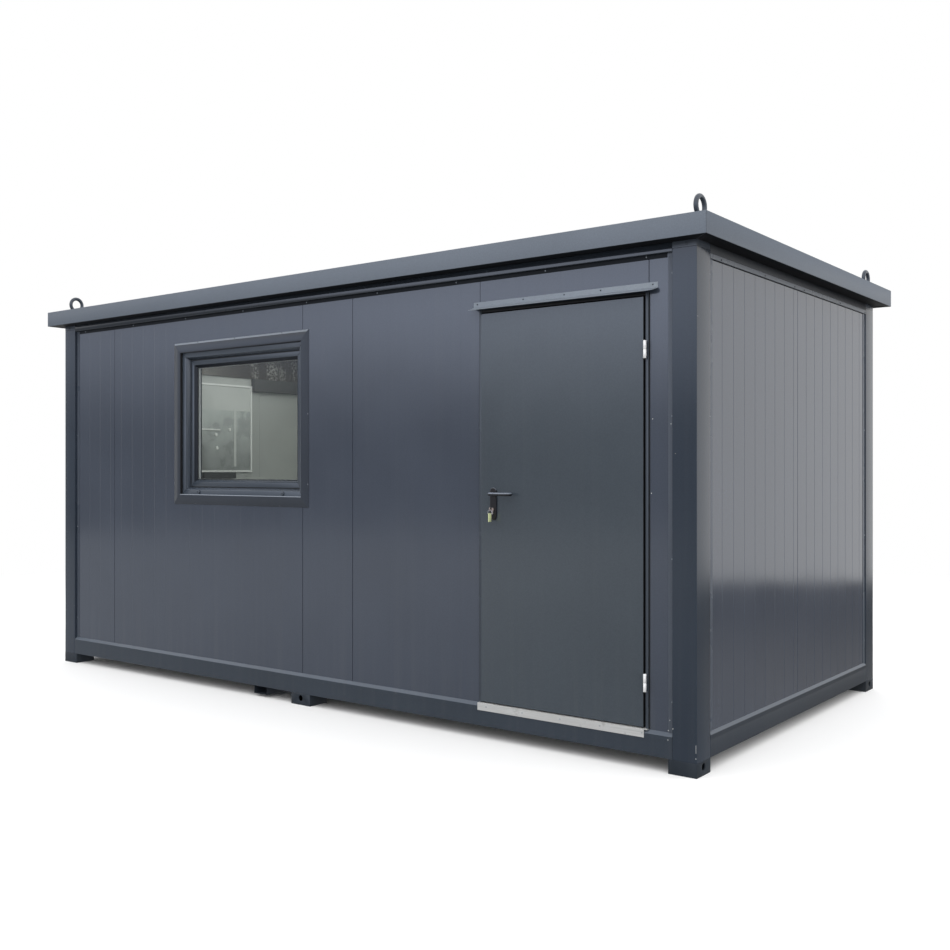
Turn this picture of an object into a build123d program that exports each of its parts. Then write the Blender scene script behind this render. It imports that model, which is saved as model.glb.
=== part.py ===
from build123d import *
import os

os.makedirs("parts", exist_ok=True)

# Portable site cabin. Millimetres, +Z up, front wall (door and window) towards -Y.
# The origin is on the ground under the middle of the roof outline.

# ---- steel frame -------------------------------------------------------------------
cabin_length = 4900.0        # outside the corner posts, along X
cabin_width = 2490.0         # outside the corner posts, along Y
post_width_x = 120.0
post_width_y = 140.0
post_wall = 5.0
foot_height = 66.0
foot_side = 140.0
foot_plate = 8.0
foot_hole_radius = 17.0
foot_hole_height = 39.0      # hole centre above the ground
mid_foot_width = 153.0
mid_foot_from_right_end = 2498.0
base_rail_height = 100.0     # upright face of the base rail
base_rail_wall = 4.0
sill_rise = 14.0             # how far the sill climbs from the rail face to the wall panel
top_rail_height = 42.0
soffit_height = 2384.0       # underside of the roof overhang, above the ground

# ---- walls, floor and ceiling --------------------------------------------------------
panel_recess = 19.0          # long wall panels lie this far behind the post faces
end_panel_recess = 8.0       # end wall panels, likewise
panel_thickness = 80.0
floor_thickness = 60.0
roof_overhang = 85.0
fascia_height = 99.0
fascia_sheet = 3.0
fascia_top_leg = 40.0
soffit_leg_on_rail = 30.0
roof_deck_drop = 22.0        # crests of the roof sheet below the top edge of the fascia
deck_rib_count = 16
deck_rib_height = 32.0
deck_rib_foot = 100.0        # width of a rib at the pan of the sheet
deck_rib_crest = 52.0        # width of a rib at its crest
deck_rib_from_eye = 100.0    # outer rib's centre line inside the plane of the eye rings
deck_gutter = 80.0           # flat pan between the rib ends and the fascia
strip_sheet = 2.0            # cover strips along the wall edges
front_strip_height = 15.0
end_strip_height = 22.0
front_strip_width = 30.0
end_strip_width = 36.0

# ---- underfloor ----------------------------------------------------------------------
beam_width = 60.0
beam_wall = 4.0
beam_count = 6
tube_width = 115.0
tube_height = 50.0
tube_wall = 3.0
tube_setback = 15.0          # tube mouth behind the rail face
tube_from_right_end = 2857.0 # tube centre line

# ---- lifting eyes --------------------------------------------------------------------
eye_ring_radius = 44.0       # centre line of the ring
eye_bar_radius = 11.5
eye_above_roof = 63.0        # ring centre above the top edge of the fascia
eye_from_end = 20.0          # ring plane inside the end face of the posts
eye_from_side = 77.0         # ring centre behind the front face of the posts
eye_stem_radius = 15.0
eye_stem_clearance = 2.0

# ---- window --------------------------------------------------------------------------
window_from_right_end = 3066.0
window_below_soffit = 248.0  # head of the opening below the soffit
window_opening_width = 1152.0
window_opening_height = 950.0
trim_overlap = 42.0          # trim laps the wall around the opening
trim_width = 64.0
trim_bevel = 12.0            # sloped outer edge of the trim
trim_stand = 8.0             # crest of the trim in front of the wall panel
trim_inner_stand = 6.0       # inner edge of the trim face in front of the wall panel
trim_sheet = 1.5
frame_gap = 4.0              # window frame inside the opening, each side
frame_setback = 15.0         # frame face behind the wall panel face
frame_depth = 66.0
frame_face = 47.0            # flat face of the frame, part of it under the trim
frame_bar = 62.5
frame_slope_depth = 30.0
sash_gap = 0.3
sash_face = 33.0
sash_bar = 48.0
sash_depth = 50.0
sash_slope_depth = 16.0
glass_bead = 2.0             # rubber between the sash slope and the glass
glass_edge_cover = 10.0      # sash laps the glass edge
glass_thickness = 24.0
glass_clearance = 0.3
mitre_gap = 0.4              # between sheets, bars and strips that meet at a corner

# ---- door ----------------------------------------------------------------------------
door_from_right_end = 246.0  # outer edge of the door frame
door_frame_width = 964.0
door_below_soffit = 209.0    # top of the door frame below the soffit
door_frame_face = 14.0
door_frame_stand = 7.0       # frame face in front of the wall panel
door_stop = 15.0             # stop inside the frame that the leaf closes on
leaf_thickness = 40.0
leaf_stand = 9.0             # leaf face in front of the wall panel
leaf_gap_hinge = 10.0
leaf_gap_lock = 7.0
leaf_gap_head = 6.0
leaf_gap_sill = 6.0
leaf_gap_stop = 6.0
threshold_sheet = 3.0
threshold_drop = 35.0        # upright leg of the threshold, down over the rail face

# ---- hinges --------------------------------------------------------------------------
hinge_axis_stand = 2.0       # axis in front of the post faces
hinge_axis_from_leaf = 14.0
hinge_radius = 7.5
hinge_length = 82.0
lower_hinge_above_sill = 205.0  # hinge middle above the bottom edge of the leaf
upper_hinge_below_head = 242.0  # hinge middle below the top edge of the leaf
hinge_pin_radius = 4.0
hinge_pin_clearance = 0.05
hinge_lug = 6.0
hinge_split = 0.4

# ---- lever handle --------------------------------------------------------------------
spindle_from_leaf_edge = 71.0   # spindle centre from the lock edge of the leaf
spindle_height = 1242.0
plate_width = 34.0
plate_top_above_spindle = 32.0
plate_bottom_below_spindle = 131.0
plate_thickness = 8.0
neck_radius = 9.0
neck_length = 16.0           # collar of the lever, out from the leaf face
neck_clearance = 0.5
spindle_radius = 5.0
spindle_hole_radius = 11.0
lever_reach = 48.0           # lever bar centre in front of the leaf face
lever_length = 133.0
lever_radius = 7.5
lever_bend = 16.0
lever_return = 12.0
cylinder_below_spindle = 77.0
cylinder_radius = 8.5
cylinder_web = 10.0
cylinder_tail = 20.0
cylinder_proud = 3.0
cylinder_clearance = 0.2

# ---- keys ----------------------------------------------------------------------------
key_plate = 2.4
key_bow_radius = 12.0
key_hole_radius = 4.0
key_neck = 2.2               # blade that shows between the bow and the lock
ring_radius = 12.0
ring_wire = 1.0
hang_gap = 0.3
tag_width = 24.0
tag_height = 43.0
tag_thickness = 2.5
tag_hole_radius = 3.0

# ---- rain cap over the door ------------------------------------------------------------
cap_from_right_end = 200.0
cap_length = 1048.0
cap_lip_below_door_top = 2.0
cap_height = 45.0
cap_leg = 26.0
cap_reach = 50.0
cap_sheet = 2.0
cap_corner_radius = 40.0

# ---- places worked out from the sizes ---------------------------------------------------
right = cabin_length / 2
left = -right
rear = cabin_width / 2
front = -rear
rail_top = foot_height + base_rail_height
sill_top = rail_top + sill_rise
wall_top = soffit_height - top_rail_height
panel_front = front + panel_recess
inner = panel_recess + panel_thickness      # post face to inside face of a long wall
inner_end = end_panel_recess + panel_thickness
roof_top = soffit_height + fascia_height
eye_height = roof_top + eye_above_roof


def block(x0, x1, y0, y1, z0, z1):
    """A square-edged block between two opposite corners."""
    size = (abs(x1 - x0), abs(y1 - y0), abs(z1 - z0))
    centre = ((x0 + x1) / 2, (y0 + y1) / 2, (z0 + z1) / 2)
    return Pos(*centre) * Box(*size)


def bar_along_x(points_yz, x0, x1):
    """A bar along X with its section given as (y, z) points."""
    outline = Polyline([(x0, y, z) for y, z in points_yz], close=True)
    return extrude(make_face(outline), amount=x1 - x0, dir=(1, 0, 0))


def bar_along_y(points_xz, y0, y1):
    """A bar along Y with its section given as (x, z) points."""
    outline = Polyline([(x, y0, z) for x, z in points_xz], close=True)
    return extrude(make_face(outline), amount=y1 - y0, dir=(0, 1, 0))


def bar_along_z(points_xy, z0, z1):
    """An upright bar with its section given as (x, y) points."""
    outline = Polyline([(x, y, z0) for x, y in points_xy], close=True)
    return extrude(make_face(outline), amount=z1 - z0, dir=(0, 0, 1))


def rod(start, direction, length, radius):
    """A round rod from a start point along an axis direction."""
    plane = Plane(origin=start, z_dir=direction)
    return plane * Cylinder(radius, length, align=(Align.CENTER, Align.CENTER, Align.MIN))


def save(name, solids):
    """Writes one node; several solids on one body may share it."""
    shape = solids if not isinstance(solids, list) else Compound(children=solids)
    export_step(shape, f"parts/{name}.step")


# ======================================================================================
# Corner posts: upright steel box sections, standing on the feet.
# ======================================================================================
def corner_post(side_x, side_y):
    x_out = side_x * right
    x_in = side_x * (right - post_width_x)
    y_out = side_y * rear
    y_in = side_y * (rear - post_width_y)
    tube = block(x_out, x_in, y_out, y_in, foot_height, soffit_height)
    hollow = block(
        x_out - side_x * post_wall, x_in + side_x * post_wall,
        y_out - side_y * post_wall, y_in + side_y * post_wall,
        foot_height + post_wall, soffit_height - post_wall,
    )
    return tube - hollow


corner_names = {
    (-1, -1): "front_left",
    (1, -1): "front_right",
    (-1, 1): "rear_left",
    (1, 1): "rear_right",
}
for (side_x, side_y), corner in corner_names.items():
    save(f"corner_post_{corner}", corner_post(side_x, side_y))


# ======================================================================================
# Feet: short boxes of thick plate under the posts and under the middle of the long
# rails, each with one round hole for a pin or a sling.
# ======================================================================================
def foot_box(x0, x1, y0, y1):
    box_out = block(x0, x1, y0, y1, 0, foot_height)
    box_in = block(
        min(x0, x1) + foot_plate, max(x0, x1) - foot_plate,
        min(y0, y1) + foot_plate, max(y0, y1) - foot_plate,
        foot_plate, foot_height - foot_plate,
    )
    return box_out - box_in


def corner_foot(side_x, side_y):
    x_out = side_x * right
    y_out = side_y * rear
    foot = foot_box(x_out, x_out - side_x * foot_side, y_out, y_out - side_y * foot_side)
    hole_start = (x_out, y_out - side_y * foot_side / 2, foot_hole_height)
    return foot - rod(hole_start, (-side_x, 0, 0), foot_plate, foot_hole_radius)


def mid_foot(side_y):
    centre_x = right - mid_foot_from_right_end
    y_out = side_y * rear
    foot = foot_box(
        centre_x - mid_foot_width / 2, centre_x + mid_foot_width / 2,
        y_out, y_out - side_y * foot_side,
    )
    hole_start = (centre_x, y_out, foot_hole_height)
    return foot - rod(hole_start, (0, -side_y, 0), foot_plate, foot_hole_radius)


save("corner_feet", [corner_foot(*sides) for sides in corner_names])
save("mid_feet", [mid_foot(-1), mid_foot(1)])


# ======================================================================================
# Base rails: box rails between the posts with a sloped sill up to the wall panel.
# ======================================================================================
def rail_points(outside, inward, recess):
    """Section of a base rail: outside is its face, inward is +1 or -1 into the room."""
    depth = recess + panel_thickness
    return [
        (outside, foot_height),
        (outside + inward * depth, foot_height),
        (outside + inward * depth, sill_top),
        (outside + inward * recess, sill_top),
        (outside, rail_top),
    ]


def rail_hollow(outside, inward, recess):
    """Section of the hollow inside a base rail."""
    near = outside + inward * base_rail_wall
    far = outside + inward * (recess + panel_thickness - base_rail_wall)
    low = foot_height + base_rail_wall
    high = rail_top - base_rail_wall
    return [(near, low), (far, low), (far, high), (near, high)]


x_posts = right - post_width_x     # inner faces of the posts
y_posts = rear - post_width_y
for name, face, inward in (("front", front, 1), ("rear", rear, -1)):
    rail = bar_along_x(rail_points(face, inward, panel_recess), -x_posts, x_posts)
    rail -= bar_along_x(rail_hollow(face, inward, panel_recess), -x_posts, x_posts)
    save(f"base_rail_{name}", rail)
for name, face, inward in (("left", left, 1), ("right", right, -1)):
    rail = bar_along_y(rail_points(face, inward, end_panel_recess), -y_posts, y_posts)
    rail -= bar_along_y(rail_hollow(face, inward, end_panel_recess), -y_posts, y_posts)
    save(f"base_rail_{name}", rail)


# ======================================================================================
# Floor, floor beams and ceiling, notched around the posts.
# ======================================================================================
def slab_inside_walls(z0, z1):
    slab = block(left + inner_end, right - inner_end, front + inner, rear - inner, z0, z1)
    for side_x, side_y in corner_names:
        slab -= block(
            side_x * right, side_x * x_posts, side_y * rear, side_y * y_posts, z0, z1
        )
    return slab


floor_bottom = sill_top - floor_thickness
save("floor", slab_inside_walls(floor_bottom, sill_top))
save("ceiling", slab_inside_walls(wall_top, soffit_height + fascia_sheet))


def floor_beam(centre_x):
    y_end = rear - inner
    beam = block(
        centre_x - beam_width / 2, centre_x + beam_width / 2,
        -y_end, y_end, foot_height, floor_bottom,
    )
    return beam - block(
        centre_x - beam_width / 2 + beam_wall, centre_x + beam_width / 2 - beam_wall,
        -y_end, y_end, foot_height + beam_wall, floor_bottom - beam_wall,
    )


beam_pitch = cabin_length / (beam_count + 1)
save("floor_beams", [floor_beam(left + beam_pitch * (i + 1)) for i in range(beam_count)])


def underfloor_tube():
    centre_x = right - tube_from_right_end
    y_end = rear - tube_setback
    low = foot_height - tube_height
    tube = block(
        centre_x - tube_width / 2, centre_x + tube_width / 2, -y_end, y_end, low, foot_height
    )
    return tube - block(
        centre_x - tube_width / 2 + tube_wall, centre_x + tube_width / 2 - tube_wall,
        -y_end, y_end, low + tube_wall, foot_height - tube_wall,
    )


save("underfloor_tube", underfloor_tube())


# ======================================================================================
# Top rails between the posts, and the roof: four fascia sheets, the deck, lifting eyes.
# ======================================================================================
def top_rail_x(face, inward):
    return block(-x_posts, x_posts, face, face + inward * inner, wall_top, soffit_height)


def top_rail_y(face, inward):
    return block(face, face + inward * inner_end, -y_posts, y_posts, wall_top, soffit_height)


top_rails = [
    top_rail_x(front, 1),
    top_rail_x(rear, -1),
    top_rail_y(left, 1),
    top_rail_y(right, -1),
]
save("top_rails", top_rails)


def fascia_points(face, outward):
    """C section of the fascia sheet with its soffit leg resting on the rail top."""
    outer_face = face + outward * roof_overhang
    inside_face = outer_face - outward * fascia_sheet
    return [
        (outer_face, soffit_height),
        (outer_face, roof_top),
        (outer_face - outward * fascia_top_leg, roof_top),
        (outer_face - outward * fascia_top_leg, roof_top - fascia_sheet),
        (inside_face, roof_top - fascia_sheet),
        (inside_face, soffit_height + fascia_sheet),
        (face - outward * soffit_leg_on_rail, soffit_height + fascia_sheet),
        (face - outward * soffit_leg_on_rail, soffit_height),
    ]


def mitre_prism(half_a, half_b, depth):
    """Plan outline of one mitred side: a trapezium from the outer edge inwards."""
    cut = half_a - mitre_gap
    return [
        (-cut, half_b), (cut, half_b), (cut - depth, half_b - depth), (-cut + depth, half_b - depth)
    ]


roof_half_x = right + roof_overhang
roof_half_y = rear + roof_overhang
mitre_depth = roof_overhang + soffit_leg_on_rail + mitre_gap
for name, side in (("front", -1), ("rear", 1)):
    sheet = bar_along_x(fascia_points(side * rear, side), -roof_half_x, roof_half_x)
    outline = [(x, side * y) for x, y in mitre_prism(roof_half_x, roof_half_y, mitre_depth)]
    sheet &= bar_along_z(outline, soffit_height, roof_top)
    for side_x in (-1, 1):
        stem_start = (
            side_x * (right - eye_from_end), side * (rear - eye_from_side), soffit_height
        )
        sheet -= rod(stem_start, (0, 0, 1), fascia_height, eye_stem_radius + eye_stem_clearance)
    save(f"fascia_{name}", sheet)
for name, side in (("left", -1), ("right", 1)):
    sheet = bar_along_y(fascia_points(side * right, side), -roof_half_y, roof_half_y)
    outline = [(side * y, x) for x, y in mitre_prism(roof_half_y, roof_half_x, mitre_depth)]
    sheet &= bar_along_z(outline, soffit_height, roof_top)
    for side_y in (-1, 1):
        stem_start = (
            side * (right - eye_from_end), side_y * (rear - eye_from_side), soffit_height
        )
        sheet -= rod(stem_start, (0, 0, 1), fascia_height, eye_stem_radius + eye_stem_clearance)
    save(f"fascia_{name}", sheet)


def deck_rib(centre_x, pan_z, crest_z, y_end):
    """A trapezoidal rib of the roof sheet, running across the cabin."""
    foot = deck_rib_foot / 2
    crest = deck_rib_crest / 2
    section = [
        (centre_x - foot, pan_z),
        (centre_x + foot, pan_z),
        (centre_x + crest, crest_z),
        (centre_x - crest, crest_z),
    ]
    return bar_along_y(section, -y_end, y_end)


def roof_deck():
    """Insulated deck under ribbed sheet, with the ribs kept clear of the lifting eyes."""
    deck_x = roof_half_x - fascia_sheet
    deck_y = roof_half_y - fascia_sheet
    crest_z = roof_top - roof_deck_drop
    pan_z = crest_z - deck_rib_height
    deck = block(-deck_x, deck_x, -deck_y, deck_y, soffit_height + fascia_sheet, pan_z)
    rib_end = right - eye_from_end - deck_rib_from_eye
    rib_pitch = 2 * rib_end / (deck_rib_count - 1)
    for i in range(deck_rib_count):
        deck += deck_rib(rib_pitch * i - rib_end, pan_z, crest_z, deck_y - deck_gutter)
    for side_x, side_y in corner_names:
        stem_start = (
            side_x * (right - eye_from_end), side_y * (rear - eye_from_side), soffit_height
        )
        deck -= rod(stem_start, (0, 0, 1), fascia_height, eye_stem_radius + eye_stem_clearance)
    return deck


save("roof_deck", roof_deck())


def lifting_eye(side_x, side_y):
    """A round bar bent to a ring, standing along Y, on a stem welded to the post top."""
    x = side_x * (right - eye_from_end)
    y = side_y * (rear - eye_from_side)
    ring = Pos(x, y, eye_height) * Rot(0, 90, 0) * Torus(eye_ring_radius, eye_bar_radius)
    stem_length = eye_height - eye_ring_radius - soffit_height
    return ring + rod((x, y, soffit_height), (0, 0, 1), stem_length, eye_stem_radius)


for (side_x, side_y), corner in corner_names.items():
    save(f"lifting_eye_{corner}", lifting_eye(side_x, side_y))


# ======================================================================================
# Walls: sandwich panels between posts and rails. The front wall is split at the window
# and the door, the other three walls are plain.
# ======================================================================================
window_centre_x = right - window_from_right_end
window_left = window_centre_x - window_opening_width / 2
window_right = window_centre_x + window_opening_width / 2
window_top = soffit_height - window_below_soffit
window_bottom = window_top - window_opening_height
window_centre_height = (window_top + window_bottom) / 2
door_right = right - door_from_right_end
door_left = door_right - door_frame_width
door_frame_top = soffit_height - door_below_soffit


def front_panel(x0, x1, z0, z1):
    return block(x0, x1, panel_front, panel_front + panel_thickness, z0, z1)


save("front_wall_left", front_panel(-x_posts, window_left, sill_top, wall_top))
save("front_wall_under_window", front_panel(window_left, window_right, sill_top, window_bottom))
save("front_wall_over_window", front_panel(window_left, window_right, window_top, wall_top))
save("front_wall_middle", front_panel(window_right, door_left, sill_top, wall_top))
save("front_wall_over_door", front_panel(door_left, door_right, door_frame_top, wall_top))
save("front_wall_right", front_panel(door_right, x_posts, sill_top, wall_top))

rear_panel_face = rear - panel_recess
save(
    "rear_wall",
    block(-x_posts, x_posts, rear_panel_face - panel_thickness, rear_panel_face, sill_top, wall_top),
)
for name, side in (("left", -1), ("right", 1)):
    face = side * (right - end_panel_recess)
    wall = block(face, face - side * panel_thickness, -y_posts, y_posts, sill_top, wall_top)
    save(f"{name}_wall", wall)


# ======================================================================================
# Cover strips: folded sheet screwed over the panel edges, along the top rails and posts.
# ======================================================================================
def strips_on_long_wall(side):
    face = side * (rear - panel_recess)
    front_face = face + side * strip_sheet
    low = wall_top - front_strip_height
    top_strip = block(-x_posts, x_posts, face, front_face, low, wall_top)
    upright = []
    for side_x in (-1, 1):
        upright.append(
            block(
                side_x * x_posts, side_x * (x_posts - front_strip_width),
                face, front_face, sill_top, low - mitre_gap,
            )
        )
    return [top_strip, *upright]


def strips_on_end_wall(side):
    """The head strip of an end wall is folded out flush with the post faces."""
    face = side * (right - end_panel_recess)
    front_face = face + side * strip_sheet
    low = wall_top - end_strip_height
    top_strip = block(face, side * right, -y_posts, y_posts, low, wall_top)
    upright = []
    for side_y in (-1, 1):
        upright.append(
            block(
                face, front_face, side_y * y_posts, side_y * (y_posts - end_strip_width),
                sill_top, low - mitre_gap,
            )
        )
    return [top_strip, *upright]


save("cover_strips", [
    *strips_on_long_wall(-1), *strips_on_long_wall(1),
    *strips_on_end_wall(-1), *strips_on_end_wall(1),
])


# ======================================================================================
# Window: folded trim on the outside, fixed frame, sash and one sealed double pane.
# ======================================================================================
def mitred_bars(half_x, half_z, section):
    """Four mitred bars around the window centre.

    The section is (d, y) points: d runs inwards from the ring's outer edge and y runs
    back from the wall panel's outside face.
    """
    depth = max(d for d, y in section) + mitre_gap
    y_low = min(y for d, y in section)
    y_high = max(y for d, y in section)
    bars = []
    for side in (-1, 1):
        rail_section = [
            (panel_front + y, window_centre_height + side * (half_z - d)) for d, y in section
        ]
        rail = bar_along_x(rail_section, window_centre_x - half_x, window_centre_x + half_x)
        outline = [
            (window_centre_x + x, panel_front + y_low, window_centre_height + side * z)
            for x, z in mitre_prism(half_x, half_z, depth)
        ]
        keep = make_face(Polyline(outline, close=True))
        bars.append(rail & extrude(keep, amount=y_high - y_low, dir=(0, 1, 0)))
        stile_section = [
            (window_centre_x + side * (half_x - d), panel_front + y) for d, y in section
        ]
        stile = bar_along_z(
            stile_section, window_centre_height - half_z, window_centre_height + half_z
        )
        outline = [
            (window_centre_x + side * x, panel_front + y_low, window_centre_height + z)
            for z, x in mitre_prism(half_z, half_x, depth)
        ]
        keep = make_face(Polyline(outline, close=True))
        bars.append(stile & extrude(keep, amount=y_high - y_low, dir=(0, 1, 0)))
    return bars


trim_half_x = window_opening_width / 2 + trim_overlap
trim_half_z = window_opening_height / 2 + trim_overlap
trim_section = [
    (0, 0),
    (0, -trim_sheet),
    (trim_bevel, -trim_stand),
    (trim_width, -trim_inner_stand),
    (trim_width, frame_setback),
    (trim_width - trim_sheet, frame_setback),
    (trim_width - trim_sheet, 0),
]
save("window_trim", mitred_bars(trim_half_x, trim_half_z, trim_section))

frame_half_x = window_opening_width / 2 - frame_gap
frame_half_z = window_opening_height / 2 - frame_gap
frame_back = frame_setback + frame_depth
sash_front = frame_setback + frame_slope_depth
frame_section = [
    (0, frame_setback),
    (frame_face, frame_setback),
    (frame_bar, sash_front),
    (frame_bar, frame_back),
    (0, frame_back),
]
save("window_frame", mitred_bars(frame_half_x, frame_half_z, frame_section))

sash_half_x = frame_half_x - frame_bar - sash_gap
sash_half_z = frame_half_z - frame_bar - sash_gap
glass_front = sash_front + sash_slope_depth + glass_bead
glass_back = glass_front + glass_thickness
sash_back = sash_front + sash_depth
groove = sash_bar - glass_edge_cover
sash_section = [
    (0, sash_front),
    (sash_face, sash_front),
    (sash_bar, sash_front + sash_slope_depth),
    (sash_bar, glass_front),
    (groove, glass_front),
    (groove, glass_back),
    (sash_bar, glass_back),
    (sash_bar, sash_back),
    (0, sash_back),
]
save("window_sash", mitred_bars(sash_half_x, sash_half_z, sash_section))

glass_half_x = sash_half_x - groove - glass_clearance
glass_half_z = sash_half_z - groove - glass_clearance
save("window_glass", block(
    window_centre_x - glass_half_x, window_centre_x + glass_half_x,
    panel_front + glass_front + glass_clearance, panel_front + glass_back - glass_clearance,
    window_centre_height - glass_half_z, window_centre_height + glass_half_z,
))


# ======================================================================================
# Door: steel frame in the wall, metal threshold, insulated leaf opening outwards.
# ======================================================================================
threshold_top = sill_top + threshold_sheet
frame_front = panel_front - door_frame_stand
wall_inside = panel_front + panel_thickness
leaf_front = panel_front - leaf_stand
leaf_back = leaf_front + leaf_thickness
stop_front = leaf_back + leaf_gap_stop
leaf_right = door_right - door_frame_face - leaf_gap_hinge
leaf_left = door_left + door_frame_face + leaf_gap_lock
leaf_bottom = threshold_top + leaf_gap_sill
leaf_top = door_frame_top - door_frame_face - leaf_gap_head


def door_jamb(outer_x, inward):
    """Upright of the door frame, with the stop behind the leaf edge."""
    face_edge = outer_x + inward * door_frame_face
    stop_edge = face_edge + inward * (leaf_gap_hinge + door_stop)
    section = [
        (outer_x, frame_front),
        (face_edge, frame_front),
        (face_edge, stop_front),
        (stop_edge, stop_front),
        (stop_edge, wall_inside),
        (outer_x, wall_inside),
    ]
    return bar_along_z(section, threshold_top, door_frame_top)


def door_head():
    x0 = door_left + door_frame_face + mitre_gap
    x1 = door_right - door_frame_face - mitre_gap
    low = door_frame_top - door_frame_face
    return block(x0, x1, frame_front, stop_front - mitre_gap, low, door_frame_top)


save("door_frame", [door_jamb(door_left, 1), door_jamb(door_right, -1), door_head()])

threshold_section = [
    (front - threshold_sheet, sill_top - threshold_drop),
    (front, sill_top - threshold_drop),
    (front, sill_top),
    (wall_inside, sill_top),
    (wall_inside, threshold_top),
    (front - threshold_sheet, threshold_top),
]
save("threshold", bar_along_x(threshold_section, door_left, door_right))

spindle_x = leaf_left + spindle_from_leaf_edge
cylinder_height = spindle_height - cylinder_below_spindle


def cylinder_shape(grow, y0, y1):
    """Lock barrel: a round plug with a narrower round-ended web below it."""
    plug = rod((spindle_x, y0, cylinder_height), (0, 1, 0), y1 - y0, cylinder_radius + grow)
    half_web = cylinder_web / 2 + grow
    tail_z = cylinder_height - cylinder_tail
    web = block(spindle_x - half_web, spindle_x + half_web, y0, y1, tail_z, cylinder_height)
    return plug + web + rod((spindle_x, y0, tail_z), (0, 1, 0), y1 - y0, half_web)


def door_leaf():
    leaf = block(leaf_left, leaf_right, leaf_front, leaf_back, leaf_bottom, leaf_top)
    spindle_start = (spindle_x, leaf_front, spindle_height)
    leaf -= rod(spindle_start, (0, 1, 0), leaf_thickness, spindle_hole_radius)
    return leaf - cylinder_shape(cylinder_clearance, leaf_front, leaf_back)


save("door_leaf", door_leaf())


def handle_plate(y0, y1):
    """Long plate with round ends, holed for the lever neck and the lock barrel."""
    end_radius = plate_width / 2
    low = spindle_height - plate_bottom_below_spindle + end_radius
    high = spindle_height + plate_top_above_spindle - end_radius
    plate = block(spindle_x - end_radius, spindle_x + end_radius, y0, y1, low, high)
    plate += rod((spindle_x, y0, low), (0, 1, 0), y1 - y0, end_radius)
    plate += rod((spindle_x, y0, high), (0, 1, 0), y1 - y0, end_radius)
    plate -= rod((spindle_x, y0, spindle_height), (0, 1, 0), y1 - y0, neck_radius + neck_clearance)
    return plate - cylinder_shape(cylinder_clearance, y0, y1)


outer_plate_face = leaf_front - plate_thickness
inner_plate_face = leaf_back + plate_thickness
save("handle_plates", [
    handle_plate(outer_plate_face, leaf_front),
    handle_plate(leaf_back, inner_plate_face),
])
barrel_front = outer_plate_face - cylinder_proud
barrel_back = inner_plate_face + cylinder_proud
save("lock_cylinder", cylinder_shape(0, barrel_front, barrel_back))


def lever_side(face_y, outward):
    """One lever: a neck out of the plate, a round bar along the door, a short return."""
    bar_y = face_y + outward * lever_reach
    end_x = spindle_x + lever_length
    tip_y = bar_y - outward * (lever_bend + lever_return)
    path = FilletPolyline(
        (spindle_x, face_y, spindle_height),
        (spindle_x, bar_y, spindle_height),
        (end_x, bar_y, spindle_height),
        (end_x, tip_y, spindle_height),
        radius=lever_bend,
    )
    section = Plane(origin=(spindle_x, face_y, spindle_height), z_dir=(0, outward, 0))
    bar = sweep(section * Circle(lever_radius), path=path)
    collar_start = (spindle_x, face_y, spindle_height)
    return bar + rod(collar_start, (0, outward, 0), neck_length, neck_radius)


lever = lever_side(leaf_front, -1) + lever_side(leaf_back, 1)
lever += rod((spindle_x, leaf_front, spindle_height), (0, 1, 0), leaf_thickness, spindle_radius)
save("lever_handle", lever)


# ======================================================================================
# Hinges: a knuckle on the frame with a pin, and a knuckle on the leaf that turns on it.
# ======================================================================================
hinge_x = leaf_right + hinge_axis_from_leaf
hinge_y = front - hinge_axis_stand
hinge_heights = (leaf_bottom + lower_hinge_above_sill, leaf_top - upper_hinge_below_head)


def frame_hinge(height):
    half = hinge_length / 2
    low = height - half
    knuckle = rod((hinge_x, hinge_y, low), (0, 0, 1), half, hinge_radius)
    lug = block(
        hinge_x, hinge_x + hinge_radius, hinge_y + hinge_radius / 2, frame_front, low, height
    )
    pin = rod((hinge_x, hinge_y, height), (0, 0, 1), half - hinge_lug, hinge_pin_radius)
    return knuckle + lug + pin


def leaf_hinge(height):
    half = hinge_length / 2
    low = height + hinge_split
    high = height + half
    knuckle = rod((hinge_x, hinge_y, low), (0, 0, 1), high - low, hinge_radius)
    lug = block(
        leaf_right - hinge_lug, hinge_x, hinge_y + hinge_radius / 2, leaf_front, low, high
    )
    bore_radius = hinge_pin_radius + hinge_pin_clearance
    bore = rod((hinge_x, hinge_y, low), (0, 0, 1), half - hinge_lug, bore_radius)
    return knuckle + lug - bore


save("frame_hinges", [frame_hinge(height) for height in hinge_heights])
save("leaf_hinges", [leaf_hinge(height) for height in hinge_heights])


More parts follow.
